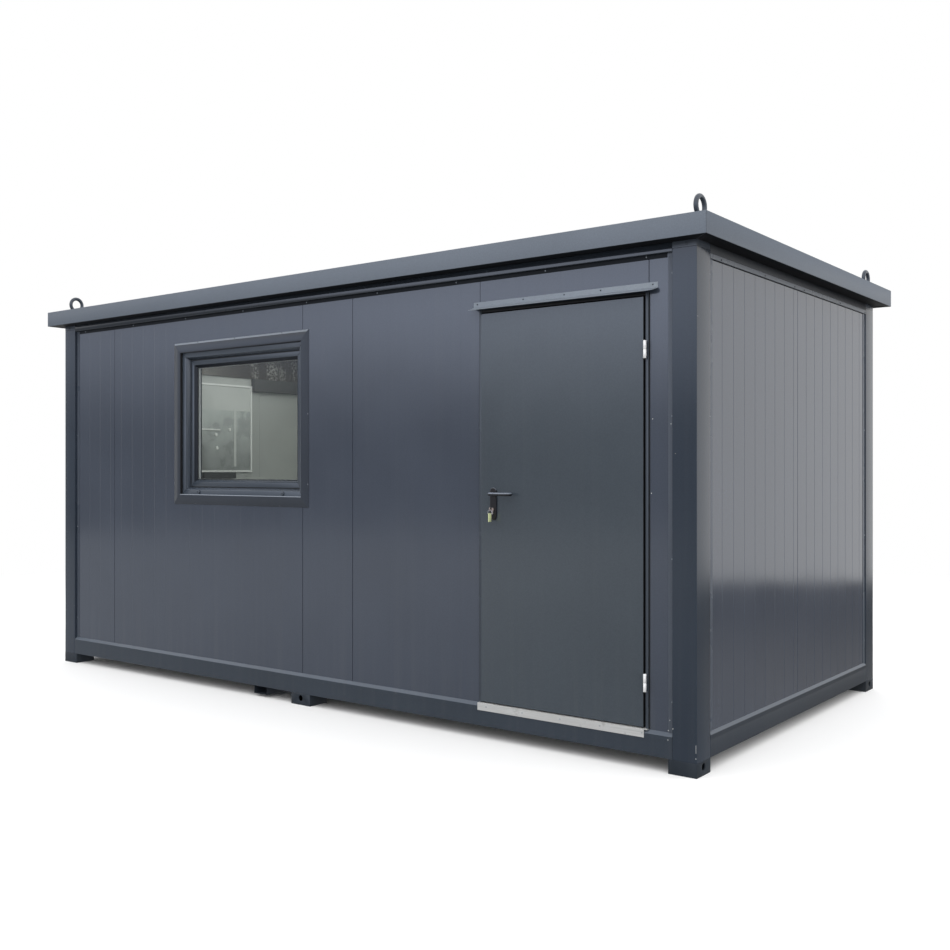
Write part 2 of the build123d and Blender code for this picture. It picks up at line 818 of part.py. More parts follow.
# ======================================================================================
# Keys left in the lock: the key, its ring and a tag.
# ======================================================================================
def keys():
    bow_y = barrel_front - key_neck - key_bow_radius
    hole_y = bow_y - key_bow_radius / 2
    bow_start = (spindle_x - key_plate / 2, bow_y, cylinder_height)
    key = rod(bow_start, (1, 0, 0), key_plate, key_bow_radius)
    key += block(
        spindle_x - key_plate / 2, spindle_x + key_plate / 2,
        bow_y, barrel_front - hang_gap,
        cylinder_height - key_hole_radius, cylinder_height + key_hole_radius,
    )
    hole_start = (spindle_x - key_plate / 2, hole_y, cylinder_height)
    key -= rod(hole_start, (1, 0, 0), key_plate, key_hole_radius)
    wire_top = cylinder_height - key_hole_radius + ring_wire + hang_gap
    ring_z = wire_top - ring_radius
    ring = Pos(spindle_x, hole_y, ring_z) * Rot(90, 0, 0) * Torus(ring_radius, ring_wire)
    tag_hole_z = ring_z - ring_radius + tag_hole_radius - ring_wire - hang_gap
    tag_top = tag_hole_z + 2 * tag_hole_radius
    tag = block(
        spindle_x - tag_thickness / 2, spindle_x + tag_thickness / 2,
        hole_y - tag_width / 2, hole_y + tag_width / 2,
        tag_top - tag_height, tag_top,
    )
    tag_hole_start = (spindle_x - tag_thickness / 2, hole_y, tag_hole_z)
    tag -= rod(tag_hole_start, (1, 0, 0), tag_thickness, tag_hole_radius)
    return [key, ring, tag]


save("keys", keys())


# ======================================================================================
# Rain cap: a folded sheet screwed to the wall over the door, one corner rounded off.
# ======================================================================================
def rain_cap():
    x1 = right - cap_from_right_end
    x0 = x1 - cap_length
    lip_y = panel_front - cap_reach
    cap_bottom = door_frame_top - cap_lip_below_door_top
    cap_top = cap_bottom + cap_height
    slope_top = cap_top - cap_leg
    section = [
        (panel_front, cap_top),
        (panel_front - cap_sheet, cap_top),
        (panel_front - cap_sheet, slope_top),
        (lip_y, cap_bottom + cap_sheet),
        (lip_y, cap_bottom),
        (panel_front, slope_top - cap_sheet),
    ]
    sheet = bar_along_x(section, x0, x1)
    corner = block(
        x1 - cap_corner_radius, x1, lip_y, lip_y + cap_corner_radius, cap_bottom, slope_top
    )
    arc_start = (x1 - cap_corner_radius, lip_y + cap_corner_radius, cap_bottom)
    corner -= rod(arc_start, (0, 0, 1), slope_top - cap_bottom, cap_corner_radius)
    return sheet - corner


save("rain_cap", rain_cap())
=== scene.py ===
import math

import bmesh
import bpy
import numpy as np
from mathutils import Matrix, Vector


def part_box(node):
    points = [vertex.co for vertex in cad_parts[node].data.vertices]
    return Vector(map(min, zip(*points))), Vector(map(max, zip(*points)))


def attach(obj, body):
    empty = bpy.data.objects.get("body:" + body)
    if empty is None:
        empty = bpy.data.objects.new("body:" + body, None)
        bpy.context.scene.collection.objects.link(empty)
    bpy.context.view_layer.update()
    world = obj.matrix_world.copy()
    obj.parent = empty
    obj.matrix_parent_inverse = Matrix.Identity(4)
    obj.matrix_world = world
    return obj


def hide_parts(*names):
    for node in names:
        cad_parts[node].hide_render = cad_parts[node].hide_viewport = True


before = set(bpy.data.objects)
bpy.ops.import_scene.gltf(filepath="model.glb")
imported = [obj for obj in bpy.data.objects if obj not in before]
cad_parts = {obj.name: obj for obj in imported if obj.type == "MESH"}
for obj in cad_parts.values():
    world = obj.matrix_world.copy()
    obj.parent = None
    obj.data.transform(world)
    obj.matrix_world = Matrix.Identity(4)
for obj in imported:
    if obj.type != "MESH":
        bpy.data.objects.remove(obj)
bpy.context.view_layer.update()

scene = bpy.context.scene
scene.view_settings.view_transform = "Standard"

# ---- Camera -------------------------------------------------------------------------------
# A level camera at chest height, off the right-hand front corner. The long front wall and the
# right end wall both show, and all uprights stay upright.
camera_data = bpy.data.cameras.new("camera")
camera_data.sensor_width = 36.0
camera_data.lens = 41.09
camera_data.shift_y = -0.0056
camera = bpy.data.objects.new("camera", camera_data)
camera.location = (4.5609, -5.6445, 1.3648)
camera.rotation_euler = (math.radians(90.0), 0.0, math.radians(37.19))
scene.collection.objects.link(camera)
scene.camera = camera


# ---- Studio -------------------------------------------------------------------------------
# A pale ground that keeps a soft shadow close to the cabin, under an even overcast sky that is
# brightest overhead. Only the lacquer mirrors the darker apron and the dim skyline in front, and
# so the walls get their darker foot and waist.
def add(tree, kind, inputs=None, **settings):
    """A shader node of a kind, with its inputs set to numbers or linked to sockets."""
    node = tree.nodes.new("ShaderNode" + kind)
    for key, value in settings.items():
        setattr(node, key, value)
    for key, value in (inputs or {}).items():
        if isinstance(value, bpy.types.NodeSocket):
            tree.links.new(value, node.inputs[key])
        else:
            node.inputs[key].default_value = value
    return node


def maths(tree, operation, first, second=0.0):
    """One sum, product or comparison of two numbers or sockets."""
    return add(tree, "Math", {0: first, 1: second}, operation=operation).outputs[0]


def ramp(tree, value, low, high, start=0.0, end=1.0):
    """The value eased from start, where it is low, to end, where it is high."""
    ends = {"Value": value, "From Min": low, "From Max": high, "To Min": start, "To Max": end}
    return add(tree, "MapRange", ends, interpolation_type="SMOOTHSTEP").outputs["Result"]


def blend(tree, share, first, second):
    """Two colours mixed by a share of the second."""
    return add(tree, "Mix", {0: share, 6: first, 7: second}, data_type="RGBA").outputs[2]


def parts_of(tree, vector):
    """The X, Y and Z of a vector, by name."""
    return add(tree, "SeparateXYZ", {"Vector": vector}).outputs


def linear(code):
    """A colour code such as 3C434C turned into the linear colour that a shader takes."""
    share = np.array([int(code[i:i + 2], 16) for i in (0, 2, 4)]) / 255.0
    value = np.where(share <= 0.04045, share / 12.92, ((share + 0.055) / 1.055) ** 2.4)
    return (*value.tolist(), 1.0)


def tree_of(owner):
    """The emptied node tree of a world or material."""
    owner.use_nodes = True
    owner.node_tree.nodes.clear()
    return owner.node_tree


def material(name):
    """A new material, its emptied tree, and the place on the object."""
    made = bpy.data.materials.new(name)
    tree = tree_of(made)
    return made, tree, add(tree, "TexCoord").outputs["Object"]


def glowing(tree, colour, strength):
    """A surface that gives off its own light."""
    return add(tree, "Emission", {"Color": colour, "Strength": strength}).outputs[0]


def mixed(tree, share, first, second):
    """Two surfaces mixed by a share of the second."""
    return add(tree, "MixShader", {0: share, 1: first, 2: second}).outputs[0]


def shown_to_eye(tree):
    """1 for what the camera, a mirror or a pane shows, 0 for what only lights the object."""
    rays = add(tree, "LightPath")
    mirrored = maths(tree, "MAXIMUM", rays.outputs["Is Glossy Ray"], rays.outputs["Is Transmission Ray"])
    return maths(tree, "MAXIMUM", rays.outputs["Is Camera Ray"], mirrored)


def stage_ring(name, radii, heights, paint, filled=True):
    """Rings about the origin: a point lies at its ring's radius r and height h, at turn t of a
    circle of 96; the first ring is filled in for a disc and left open for a band."""
    around = 96
    turn = np.linspace(0.0, 2.0 * math.pi, around, endpoint=False)
    r, t = np.meshgrid(radii, turn, indexing="ij")
    h = np.broadcast_to(np.reshape(heights, (-1, 1)), r.shape)
    points = np.stack([r * np.cos(t), r * np.sin(t), h], -1).reshape(-1, 3)
    k = np.arange(around)
    faces = [k.tolist()] if filled else []
    for low in around * np.arange(len(radii) - 1):
        high = low + around
        faces += np.stack([low + k, high + k, high + (k + 1) % around, low + (k + 1) % around], 1).tolist()
    mesh = bpy.data.meshes.new(name)
    mesh.from_pydata(points.tolist(), [], faces)
    mesh.materials.append(paint)
    thing = bpy.data.objects.new(name, mesh)
    scene.collection.objects.link(thing)
    return thing


sky = bpy.data.worlds.new("overcast_sky")
scene.world = sky
tree = tree_of(sky)
way = parts_of(tree, add(tree, "TexCoord").outputs["Generated"])
overhead = ramp(tree, way["Z"], 0.0, 0.8, 0.0, 0.75)
front_side = ramp(tree, way["Y"], -0.9, 0.3, 0.25, 0.0)
right_side = ramp(tree, way["X"], -0.2, 0.9, 0.0, 0.43)
around = maths(tree, "ADD", front_side, right_side)
lamp_level = maths(tree, "ADD", maths(tree, "ADD", overhead, around), 0.75)
grey = add(tree, "CombineXYZ", {axis: lamp_level for axis in "XYZ"}).outputs[0]
seen_colour = blend(tree, shown_to_eye(tree), grey, linear("FFFFFF"))
background = add(tree, "Background", {"Color": seen_colour, "Strength": 1.0})
add(tree, "OutputWorld", {"Surface": background.outputs[0]})

ground_paint, tree, place = material("pale_ground")
distance = add(tree, "VectorMath", {0: place}, operation="LENGTH").outputs["Value"]
lit = add(tree, "BsdfDiffuse", {"Color": linear("F4F4F4")}).outputs[0]
under = parts_of(tree, add(tree, "VectorMath", {0: place}, operation="ABSOLUTE").outputs["Vector"])
# The glow is left out under the cabin's footprint: a painted shade under the cabin, on top of its real
# shadow.
outside = maths(tree, "MAXIMUM", ramp(tree, under["X"], 2.30, 2.55), ramp(tree, under["Y"], 1.10, 1.35))
glow = glowing(tree, linear("FFFFFF"), maths(tree, "MULTIPLY", outside, 0.08))
near = add(tree, "AddShader", {0: lit, 1: glow}).outputs[0]
far = glowing(tree, linear("FFFFFF"), 1.0)
shown = mixed(tree, ramp(tree, distance, 4.5, 9.0), near, far)
unseen = add(tree, "BsdfDiffuse", {"Color": linear("949494")}).outputs[0]
add(tree, "OutputMaterial", {"Surface": mixed(tree, shown_to_eye(tree), unseen, shown)})
stage_ring("ground", [1.0, 4.0, 8.0, 16.0, 60.0], 0.0, ground_paint)

apron_paint, tree, place = material("dark_apron")
distance = add(tree, "VectorMath", {0: place}, operation="LENGTH").outputs["Value"]
spot = parts_of(tree, place)
level = maths(tree, "MULTIPLY", ramp(tree, spot["X"], -4.5, 3.5, 0.6, 0.3),
              ramp(tree, spot["Y"], 0.0, 5.0, 1.0, 0.5))
tint = blend(tree, ramp(tree, spot["Y"], -1.5, 1.5), linear("E8ECF2"), linear("F2EEE8"))
clear = add(tree, "BsdfTransparent").outputs[0]
edge = maths(tree, "MULTIPLY", ramp(tree, distance, 8.3, 9.6), ramp(tree, spot["Y"], -3.0, -1.5))
add(tree, "OutputMaterial", {"Surface": mixed(tree, edge, glowing(tree, tint, level), clear)})

skyline_paint, tree, place = material("dim_skyline")
spot = parts_of(tree, place)
height = ramp(tree, spot["Z"], 2.0, 5.6)
haze = blend(tree, height, linear("E4EAF6"), linear("DFE9FF"))
brightness = maths(tree, "MULTIPLY", height, ramp(tree, spot["X"], -19.0, -9.0, 0.8, 1.43))
brightness = maths(tree, "ADD", brightness, 0.27)
clear = add(tree, "BsdfTransparent").outputs[0]
edge = maths(tree, "MAXIMUM", ramp(tree, spot["Z"], 9.0, 14.0), ramp(tree, spot["Y"], -10.0, -3.0))
add(tree, "OutputMaterial", {"Surface": mixed(tree, edge, glowing(tree, haze, brightness), clear)})

apron = stage_ring("mirrored_apron", [1.0, 4.0, 8.0, 12.0, 20.0], 0.002, apron_paint)
skyline = stage_ring("mirrored_skyline", [20.0, 20.0, 20.0], [0.0, 5.0, 14.0], skyline_paint, filled=False)
# Both cards glow and are seen only in reflections, where they paint the darker reflections of the walls' foot
# and waist.
for card in (apron, skyline):
    card.visible_camera = False
    card.visible_diffuse = False
    card.visible_transmission = False
    card.visible_shadow = False

room_light_data = bpy.data.lights.new("room_light", "AREA")
room_light_data.shape = "RECTANGLE"
room_light_data.size = 3.6
room_light_data.size_y = 1.4
room_light_data.energy = 31.0
room_light = bpy.data.objects.new("room_light", room_light_data)
room_light.location = (-0.4, 0.1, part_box("ceiling")[0].z - 0.03)
room_light.visible_camera = False
room_light.visible_glossy = False
room_light.visible_transmission = False
scene.collection.objects.link(room_light)


# ---- Corner posts -------------------------------------------------------------------------
# Four steel box tubes with rounded corners, welded to the rails and standing on the feet. Each
# has a paler block welded on as its head, with one bolt in the face on the long side.
X, Y, Z = np.eye(3)


def run(profile, origin, across, up, along, length, cut=(0.0, 0.0), paint=0):
    """A closed profile of (a, b) points carried straight: origin + a across + b up + s along,
    with s from cut[0] times a to length less cut[1] times a, so that a cut of 1 is a mitre."""
    a, b = np.asarray(profile, float).T
    axes = np.array([across, up, along], float)
    ends = [np.stack([a, b, s], 1) @ axes for s in (cut[0] * a, length - cut[1] * a)]
    points = np.vstack(ends) + np.asarray(origin, float)
    n = len(a)
    i = np.arange(n)
    j = (i + 1) % n
    faces = np.stack([i, j, j + n, i + n], 1).tolist()
    faces += [i[::-1].tolist(), (i + n).tolist()]
    if np.sum(a * b[j] - a[j] * b) * np.linalg.det(axes) < 0:
        faces = [face[::-1] for face in faces]
    paints = np.broadcast_to(paint, n).tolist()
    return points, faces, [*paints, paints[0], paints[0]]


def oblong(low, high):
    """The outline of a rectangle between its lowest and highest corner."""
    return [(low[0], low[1]), (high[0], low[1]), (high[0], high[1]), (low[0], high[1])]


def rounded(profile, radius, steps=4):
    """A closed profile whose corners are cut back by the radius and bridged by parabola arcs."""
    corner = np.asarray(profile, float)
    before = np.roll(corner, 1, 0) - corner
    after = np.roll(corner, -1, 0) - corner
    first = corner + radius * before / np.linalg.norm(before, axis=1)[:, None]
    last = corner + radius * after / np.linalg.norm(after, axis=1)[:, None]
    k = np.linspace(0.0, 1.0, steps + 1)[None, :, None]
    arc = (1 - k) ** 2 * first[:, None] + 2 * k * (1 - k) * corner[:, None] + k ** 2 * last[:, None]
    return arc.reshape(-1, 2)


def turned(places, outward, rings, sides=12):
    """Small turned bodies at many places at once: a point lies at radius r round the outward
    axis and height h along it, for every (r, h) ring; the first and last ring are closed."""
    outward = np.asarray(outward, float)
    up = Z if abs(outward[2]) < 0.9 else Y
    side = np.cross(up, outward)
    up = np.cross(outward, side)
    r, h = np.asarray(rings, float).T
    t = 2.0 * math.pi * np.arange(sides) / sides
    circle = np.cos(t)[:, None] * side + np.sin(t)[:, None] * up
    body = (r[:, None, None] * circle[None] + h[:, None, None] * outward).reshape(-1, 3)
    places = np.atleast_2d(np.asarray(places, float))
    points = (places[:, None] + body[None]).reshape(-1, 3)
    k = np.arange(sides)
    low = (sides * np.arange(len(r) - 1))[:, None]
    quads = np.stack([low + k, low + (k + 1) % sides, low + sides + (k + 1) % sides, low + sides + k], -1)
    one = quads.reshape(-1, 4).tolist() + [k[::-1].tolist(), (k + sides * (len(r) - 1)).tolist()]
    faces = [[corner + len(body) * copy for corner in face] for copy in range(len(places)) for face in one]
    return points, faces, [0] * len(faces)


def bolts(places, outward, radius, height):
    """Hexagon heads on a thin washer, turned from shares of the radius and height."""
    washer = turned(places, outward, [(radius * 1.35, 0.0), (radius * 1.35, height * 0.25)])
    rings = np.array([(1.0, 0.2), (1.0, 0.9), (0.86, 1.0)]) * (radius, height)
    return joined(washer, turned(places, outward, rings, sides=6))


def joined(*parts):
    """Several (points, faces, paint numbers) parts as one."""
    points, faces, paints, count = [], [], [], 0
    for part_points, part_faces, part_paints in parts:
        points.append(part_points)
        faces += [[corner + count for corner in face] for face in part_faces]
        paints += part_paints
        count += len(part_points)
    return np.vstack(points), faces, paints


def placed(name, mesh, body, node, edge):
    """An object of a mesh, riding on a body, which may stand for a construction node. Where an
    edge is given, its sharp edges are rounded by that much and shaded smooth across."""
    thing = bpy.data.objects.new(name, mesh)
    scene.collection.objects.link(thing)
    if edge:
        bevel = thing.modifiers.new("eased_edges", "BEVEL")
        bevel.width = edge
        bevel.segments = 2
        bevel.limit_method = "ANGLE"
        bevel.angle_limit = math.radians(30.0)
        bevel.harden_normals = True
        mesh.polygons.foreach_set("use_smooth", [True] * len(mesh.polygons))
    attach(thing, body)
    if node:
        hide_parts(node)
    return thing


def piece(name, part, paints, body="cabin", node=None, edge=0.0, smooth=False):
    """One object made of a (points, faces, paint numbers) part."""
    points, faces, paint_numbers = part
    mesh = bpy.data.meshes.new(name)
    mesh.from_pydata(points.tolist(), [], faces)
    for paint in paints:
        mesh.materials.append(paint)
    mesh.polygons.foreach_set("material_index", paint_numbers)
    mesh.polygons.foreach_set("use_smooth", [smooth] * len(faces))
    return placed(name, mesh, body, node, edge)


def noise(tree, place, scale, detail, stretch=None):
    """Cloudy values about a half, drawn out where the place's scales along X, Y and Z differ."""
    if stretch:
        place = add(tree, "Mapping", {"Vector": place, "Scale": stretch}).outputs[0]
    return add(tree, "TexNoise", {"Vector": place, "Scale": scale, "Detail": detail}).outputs["Fac"]


def toned(tree, code, level):
    """A colour code made darker or lighter by a level about 1."""
    return add(tree, "HueSaturation", {"Color": linear(code), "Value": level}).outputs["Color"]


def bump(tree, height, strength, distance, **over):
    """The surface's normal, tilted by a relief of the height; Normal= gives the relief under it."""
    relief = {"Height": height, "Strength": strength, "Distance": distance, **over}
    return add(tree, "Bump", relief).outputs[0]


def coat(tree, colour, roughness, normal=None, metal=0.0, shine=0.5):
    """Closes a material with a surface of the colour, roughness and relief."""
    inputs = {"Base Color": colour, "Roughness": roughness, "Metallic": metal, "Specular IOR Level": shine}
    if normal is not None:
        inputs["Normal"] = normal
    shader = add(tree, "BsdfPrincipled", inputs)
    add(tree, "OutputMaterial", {"Surface": shader.outputs[0]})


def painted(name, code, rough=0.3, drift=0.06, grime=0.10, peel=0.3, sag=0.0, fleck=0.0, shine=0.5):
    """Baked satin paint. Its tone drifts over half a metre, faint grime runs down it in streaks
    and gathers low, and orange peel and a slow waviness of the sheet break up the shine."""
    paint, tree, place = material(name)
    slow = noise(tree, place, 1.7, 4.0)
    fine = noise(tree, place, 160.0, 3.0)
    streak = noise(tree, place, 1.0, 5.0, stretch=(24.0, 24.0, 0.7))
    tone = maths(tree, "ADD", ramp(tree, slow, 0.3, 0.7, 1.0 - drift, 1.0 + drift),
                 ramp(tree, fine, 0.3, 0.7, -0.05, 0.05))
    low_down = ramp(tree, parts_of(tree, place)["Z"], 0.02, 0.6, 1.0, 0.3)
    dirt = maths(tree, "MULTIPLY", ramp(tree, streak, 0.45, 0.8, 0.0, grime), low_down)
    colour = blend(tree, dirt, toned(tree, code, tone), linear("87847D"))
    if fleck:
        speck = add(tree, "TexVoronoi", {"Vector": place, "Scale": 9.0}).outputs["Distance"]
        colour = blend(tree, ramp(tree, speck, 0.012, 0.02, fleck, 0.0), colour, linear("B9B6AE"))
    gloss = maths(tree, "ADD", ramp(tree, slow, 0.3, 0.7, rough - 0.02, rough + 0.02),
                  maths(tree, "MULTIPLY", dirt, 0.5))
    normal = bump(tree, noise(tree, place, 420.0, 1.0), peel, 0.00012)
    if sag:
        normal = bump(tree, noise(tree, place, 2.4, 1.0), 1.0, sag, Normal=normal)
    coat(tree, colour, gloss, normal, shine=shine)
    return paint


post_paint = painted("post_paint", "2B3440", rough=0.18, grime=0.06, fleck=0.6, shine=0.65)
head_paint = painted("head_paint", "454C56", rough=0.26, grime=0.05, shine=0.6)
post_corner = 0.003
head_height = 0.029
weld_gap = 0.0008
bolt_from_edge = 0.05
bolt_lift = 0.012
corners = {"front_left": (-1, -1), "front_right": (1, -1), "rear_left": (-1, 1), "rear_right": (1, 1)}
for corner, (side_x, side_y) in corners.items():
    low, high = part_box(f"corner_post_{corner}")
    seam = high.z - head_height
    shaft = run(rounded(oblong(low, high), post_corner), (0, 0, low.z), X, Y, Z, seam - weld_gap - low.z)
    piece(f"post_{corner}", shaft, [post_paint], node=f"corner_post_{corner}", edge=0.0008)
    head = run(rounded(oblong(low, high), post_corner * 0.6), (0, 0, seam), X, Y, Z, head_height)
    bolt_x = high.x - bolt_from_edge if side_x > 0 else low.x + bolt_from_edge
    face_y = high.y if side_y > 0 else low.y
    bolt = bolts([(bolt_x, face_y, seam + bolt_lift)], side_y * Y, 0.005, 0.003)
    piece(f"post_head_{corner}", joined(head, bolt), [head_paint], edge=0.0006)


# ---- Feet ---------------------------------------------------------------------------------
# Short welded boxes of thick plate, four under the posts and two under the middle of the
# long rails, each with a round hole for a pin.
def cleaned(node, name, paints, edge, body="cabin"):
    """A copy of a construction node with its doubles merged and its flat triangles joined,
    so that its edges can be eased."""
    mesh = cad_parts[node].data.copy()
    mesh.name = name
    mesh.materials.clear()
    shape = bmesh.new()
    shape.from_mesh(mesh)
    bmesh.ops.remove_doubles(shape, verts=shape.verts, dist=0.00001)
    bmesh.ops.dissolve_limit(shape, angle_limit=math.radians(0.5), verts=shape.verts, edges=shape.edges)
    shape.to_mesh(mesh)
    shape.free()
    for paint in paints:
        mesh.materials.append(paint)
    return placed(name, mesh, body, node, edge)


foot_paint = painted("foot_paint", "2A3139", rough=0.45, grime=0.06, fleck=0.8, shine=0.3)
cleaned("corner_feet", "post_feet", [foot_paint], 0.0015)
cleaned("mid_feet", "rail_feet", [foot_paint], 0.0015)

# ---- Base rails ---------------------------------------------------------------------------
# Folded steel rails between the posts. A thin capping strip laps the top of each rail's face
# and slopes up to the wall panel, so that rain runs off.
# The capping strip's slope takes a paler paint than its face, a painted highlight on the top. The end rails
# and their slopes take darker copies of the long sides' paints, a painted shade.
rail_paint = painted("rail_paint", "343C46", rough=0.32, grime=0.05, sag=0.0005, fleck=0.5)
cap_paint = painted("cap_paint", "5A626D", rough=0.3, grime=0.05)
end_rail_shaded_paint = painted("end_rail_shaded_paint", "2E353E", rough=0.4, grime=0.05, shine=0.35)
end_slope_highlight_paint = painted("end_slope_highlight_paint", "4C545F", rough=0.35, grime=0.05)
cap_lap = 0.020
cap_sheet = 0.0012
cap_hem = 0.0006
cap_gap = 0.001
sill_rise = 0.014
sides = {"front": (0, -1), "right": (1, 0), "rear": (0, 1), "left": (-1, 0)}
long_sides = ("front", "rear")


def axes_of(side):
    """The axes of a wall seen from outside: across to the viewer's right, and inwards."""
    out_x, out_y = sides[side]
    return np.array((-out_y, out_x, 0.0)), np.array((-out_x, -out_y, 0.0))


def span(side, node):
    """A node's lowest and highest place across, inwards and up, in the axes of a side."""
    across, inward = axes_of(side)
    both = np.array([list(corner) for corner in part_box(node)])
    return [np.sort(both @ axis) for axis in (across, inward, Z)]


wall_node = {"front": "front_wall_middle", "right": "right_wall", "rear": "rear_wall", "left": "left_wall"}
panel_face = {side: span(side, wall_node[side])[1][0] for side in sides}
for side in sides:
    across, inward = axes_of(side)
    (start, end), (face, back), (bottom, top) = span(side, f"base_rail_{side}")
    wall = panel_face[side]
    fold = top - sill_rise
    outline = [(face, bottom), (back, bottom), (back, top), (wall, top), (face, fold)]
    rail = run(outline, start * across, inward, Z, across, end - start)
    face_paint, slope_highlight = end_rail_shaded_paint, end_slope_highlight_paint
    if side in long_sides:
        face_paint, slope_highlight = rail_paint, cap_paint
    piece(f"rail_{side}", rail, [face_paint], node=f"base_rail_{side}", edge=0.0015)
    strip = [
        (face - cap_sheet, fold - cap_lap), (face, fold - cap_lap), (face, fold),
        (wall, top), (wall, top + cap_sheet), (face - cap_sheet, fold + cap_hem),
    ]
    cap = run(strip, (start + cap_gap) * across, inward, Z, across, end - start - 2 * cap_gap,
              paint=[1, 1, 1, 0, 0, 1])
    piece(f"rail_cap_{side}", cap, [slope_highlight, face_paint], edge=0.0003)

# ---- Underfloor ---------------------------------------------------------------------------
# Light box beams carry the floor from rail to rail. One flat box tube, open at
# both ends, runs from front to rear under them.
# The beams are painted near black: a painted shade under the floor, with grime over it.
shaded_beam_paint = painted("shaded_beam_paint", "1E2124", rough=0.6, grime=0.2)
cleaned("floor_beams", "floor_joists", [shaded_beam_paint], 0.0015)
cleaned("underfloor_tube", "cable_tube", [foot_paint], 0.0012)

# ---- Floor --------------------------------------------------------------------------------
# A thick board that lies on the beams, with a hard-wearing speckled vinyl sheet glued on top
# of it and worn in patches.
floor_sheet, tree, place = material("speckled_floor_sheet")
speck = add(tree, "TexVoronoi", {"Vector": place, "Scale": 220.0}).outputs["Color"]
tone = parts_of(tree, speck)["X"]
wear = noise(tree, place, 3.0, 6.0)
colour = blend(tree, ramp(tree, tone, 0.2, 0.9), linear("6E6C68"), linear("8B8984"))
colour = blend(tree, ramp(tree, wear, 0.45, 0.7, 0.0, 0.3), colour, linear("5A5650"))
coat(tree, colour, ramp(tree, wear, 0.3, 0.7, 0.35, 0.6), bump(tree, tone, 0.2, 0.0003))
cleaned("floor", "floor_board", [floor_sheet], 0.0)


# ---- Wall panels --------------------------------------------------------------------------
# Sandwich panels: coated steel sheet on both faces of a stiff core. Tongued joints show as
# narrow upright grooves. The outer sheet is rolled with shallow ribs, deeper on all but the front.
def groove(at, width, depth, lip):
    """Plan points of a panel joint: a sloped lip down each side of a square slot."""
    half = width / 2
    return [
        (at - half - lip, 0.0), (at - half, lip), (at - half, depth),
        (at + half, depth), (at + half, lip), (at + half + lip, 0.0),
    ]


def rib(at, width, depth):
    """Plan points of a shallow rolled rib: a trapezium pressed into the sheet."""
    return [(at - width / 2, 0.0), (at - width / 6, depth), (at + width / 6, depth), (at + width / 2, 0.0)]


joint = (0.0030, 0.0060, 0.0012)
lining_joint = (0.0012, 0.0015, 0.0006)


def panel(name, node, side, joints, ribs, rib_size, lining_joints, open_ends=(False, False)):
    """A wall panel: its plan runs along the outside with its grooves and ribs, and back along
    the inside with fine joints, and is carried up. An open end is half a joint."""
    across, inward = axes_of(side)
    (start, end), (face, back), (bottom, top) = span(side, node)
    inside = [at for at in joints if start + 0.01 < at < end - 0.01]
    pressed = [at for at in ribs if start + 0.01 < at < end - 0.01 and min(
        [abs(at - other) for other in inside], default=1.0) > 0.012]
    marks = sorted([(at, groove(at, *joint)) for at in inside] + [(at, rib(at, *rib_size)) for at in pressed])
    outside = [point for _, points in marks for point in points]
    first = groove(start, *joint)[3:] if open_ends[0] else [(start, 0.0)]
    last = groove(end, *joint)[:3] if open_ends[1] else [(end, 0.0)]
    if open_ends[0]:
        first = [(start, joint[1]), *first]
    if open_ends[1]:
        last = [*last, (end, joint[1])]
    outer = [(a, face + b) for a, b in first + outside + last]
    seams = [at for at in lining_joints if start + 0.02 < at < end - 0.02]
    inner = [(a, back - b) for at in seams for a, b in groove(at, *lining_joint)]
    inner = [(start, back), *inner, (end, back)]
    paints = [0] * len(outer) + [1] * (len(inner) - 1) + [0]
    part = run(outer + inner[::-1], bottom * Z, across, inward, Z, top - bottom, paint=paints)
    return piece(name, part, [wall_paint, lining], node=node)


wall_paint = painted("wall_paint", "3E4552", rough=0.12, drift=0.04, grime=0.05, sag=0.0010, shine=1.0)
lining, tree, place = material("wall_lining")
weave = noise(tree, place, 300.0, 2.0)
cloud = noise(tree, place, 1.2, 3.0)
colour = blend(tree, ramp(tree, cloud, 0.3, 0.7), linear("A9ADAA"), linear("B6BAB6"))
coat(tree, colour, ramp(tree, cloud, 0.3, 0.7, 0.45, 0.55), bump(tree, weave, 0.2, 0.0002))

joint_by_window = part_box("front_wall_under_window")[1].x - 0.011
front_joints = [joint_by_window, 0.348, -1.887]
front_ribs = np.arange(-2.3, 2.33, 0.122)
front_rib = (0.004, 0.0003)
lining_seams = np.arange(-2.4, 2.4, 1.0) + 0.35
open_ends = {"over_door": (True, True), "right": (True, False)}
for place_name in ("left", "under_window", "over_window", "middle", "over_door", "right"):
    panel(f"front_panel_{place_name}", f"front_wall_{place_name}", "front", front_joints, front_ribs,
          front_rib, lining_seams, open_ends.get(place_name, (False, False)))

rib_pitch = 0.127
deep_rib = (0.005, 0.0009)
end_joint = -0.014
end_ribs = np.concatenate([end_joint - 0.060 - rib_pitch * np.arange(9),
                           end_joint + rib_pitch * np.arange(1, 9)])
rear_joints = np.arange(-2.0, 2.1, 1.0)
rear_ribs = np.arange(-2.3, 2.33, rib_pitch)
panel("right_panel", "right_wall", "right", [end_joint], end_ribs, deep_rib, [end_joint])
panel("left_panel", "left_wall", "left", [end_joint], end_ribs, deep_rib, [-0.497, 0.503])
panel("rear_panel", "rear_wall", "rear", rear_joints, rear_ribs, deep_rib, lining_seams)

# ---- Inside fittings ----------------------------------------------------------------------
# A wipe-clean board in a white frame, screwed to the left wall's lining with a dark tray under
# it, a dark cable duct beside its head, and a dark plywood strip along the top of the wall.
inner_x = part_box("left_wall")[1].x
ceiling_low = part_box("ceiling")[0].z


def bar_between(low, high):
    """A straight bar that fills the space between its lowest and highest corner."""
    return run(oblong(low, high), low[2] * Z, X, Y, Z, high[2] - low[2])


def fitting(start_y, end_y, low_z, high_z, stand, back=0.0):
    """A flat bar on the left wall's lining, from back to stand in front of it."""
    return bar_between((inner_x + back, start_y, low_z), (inner_x + stand, end_y, high_z))


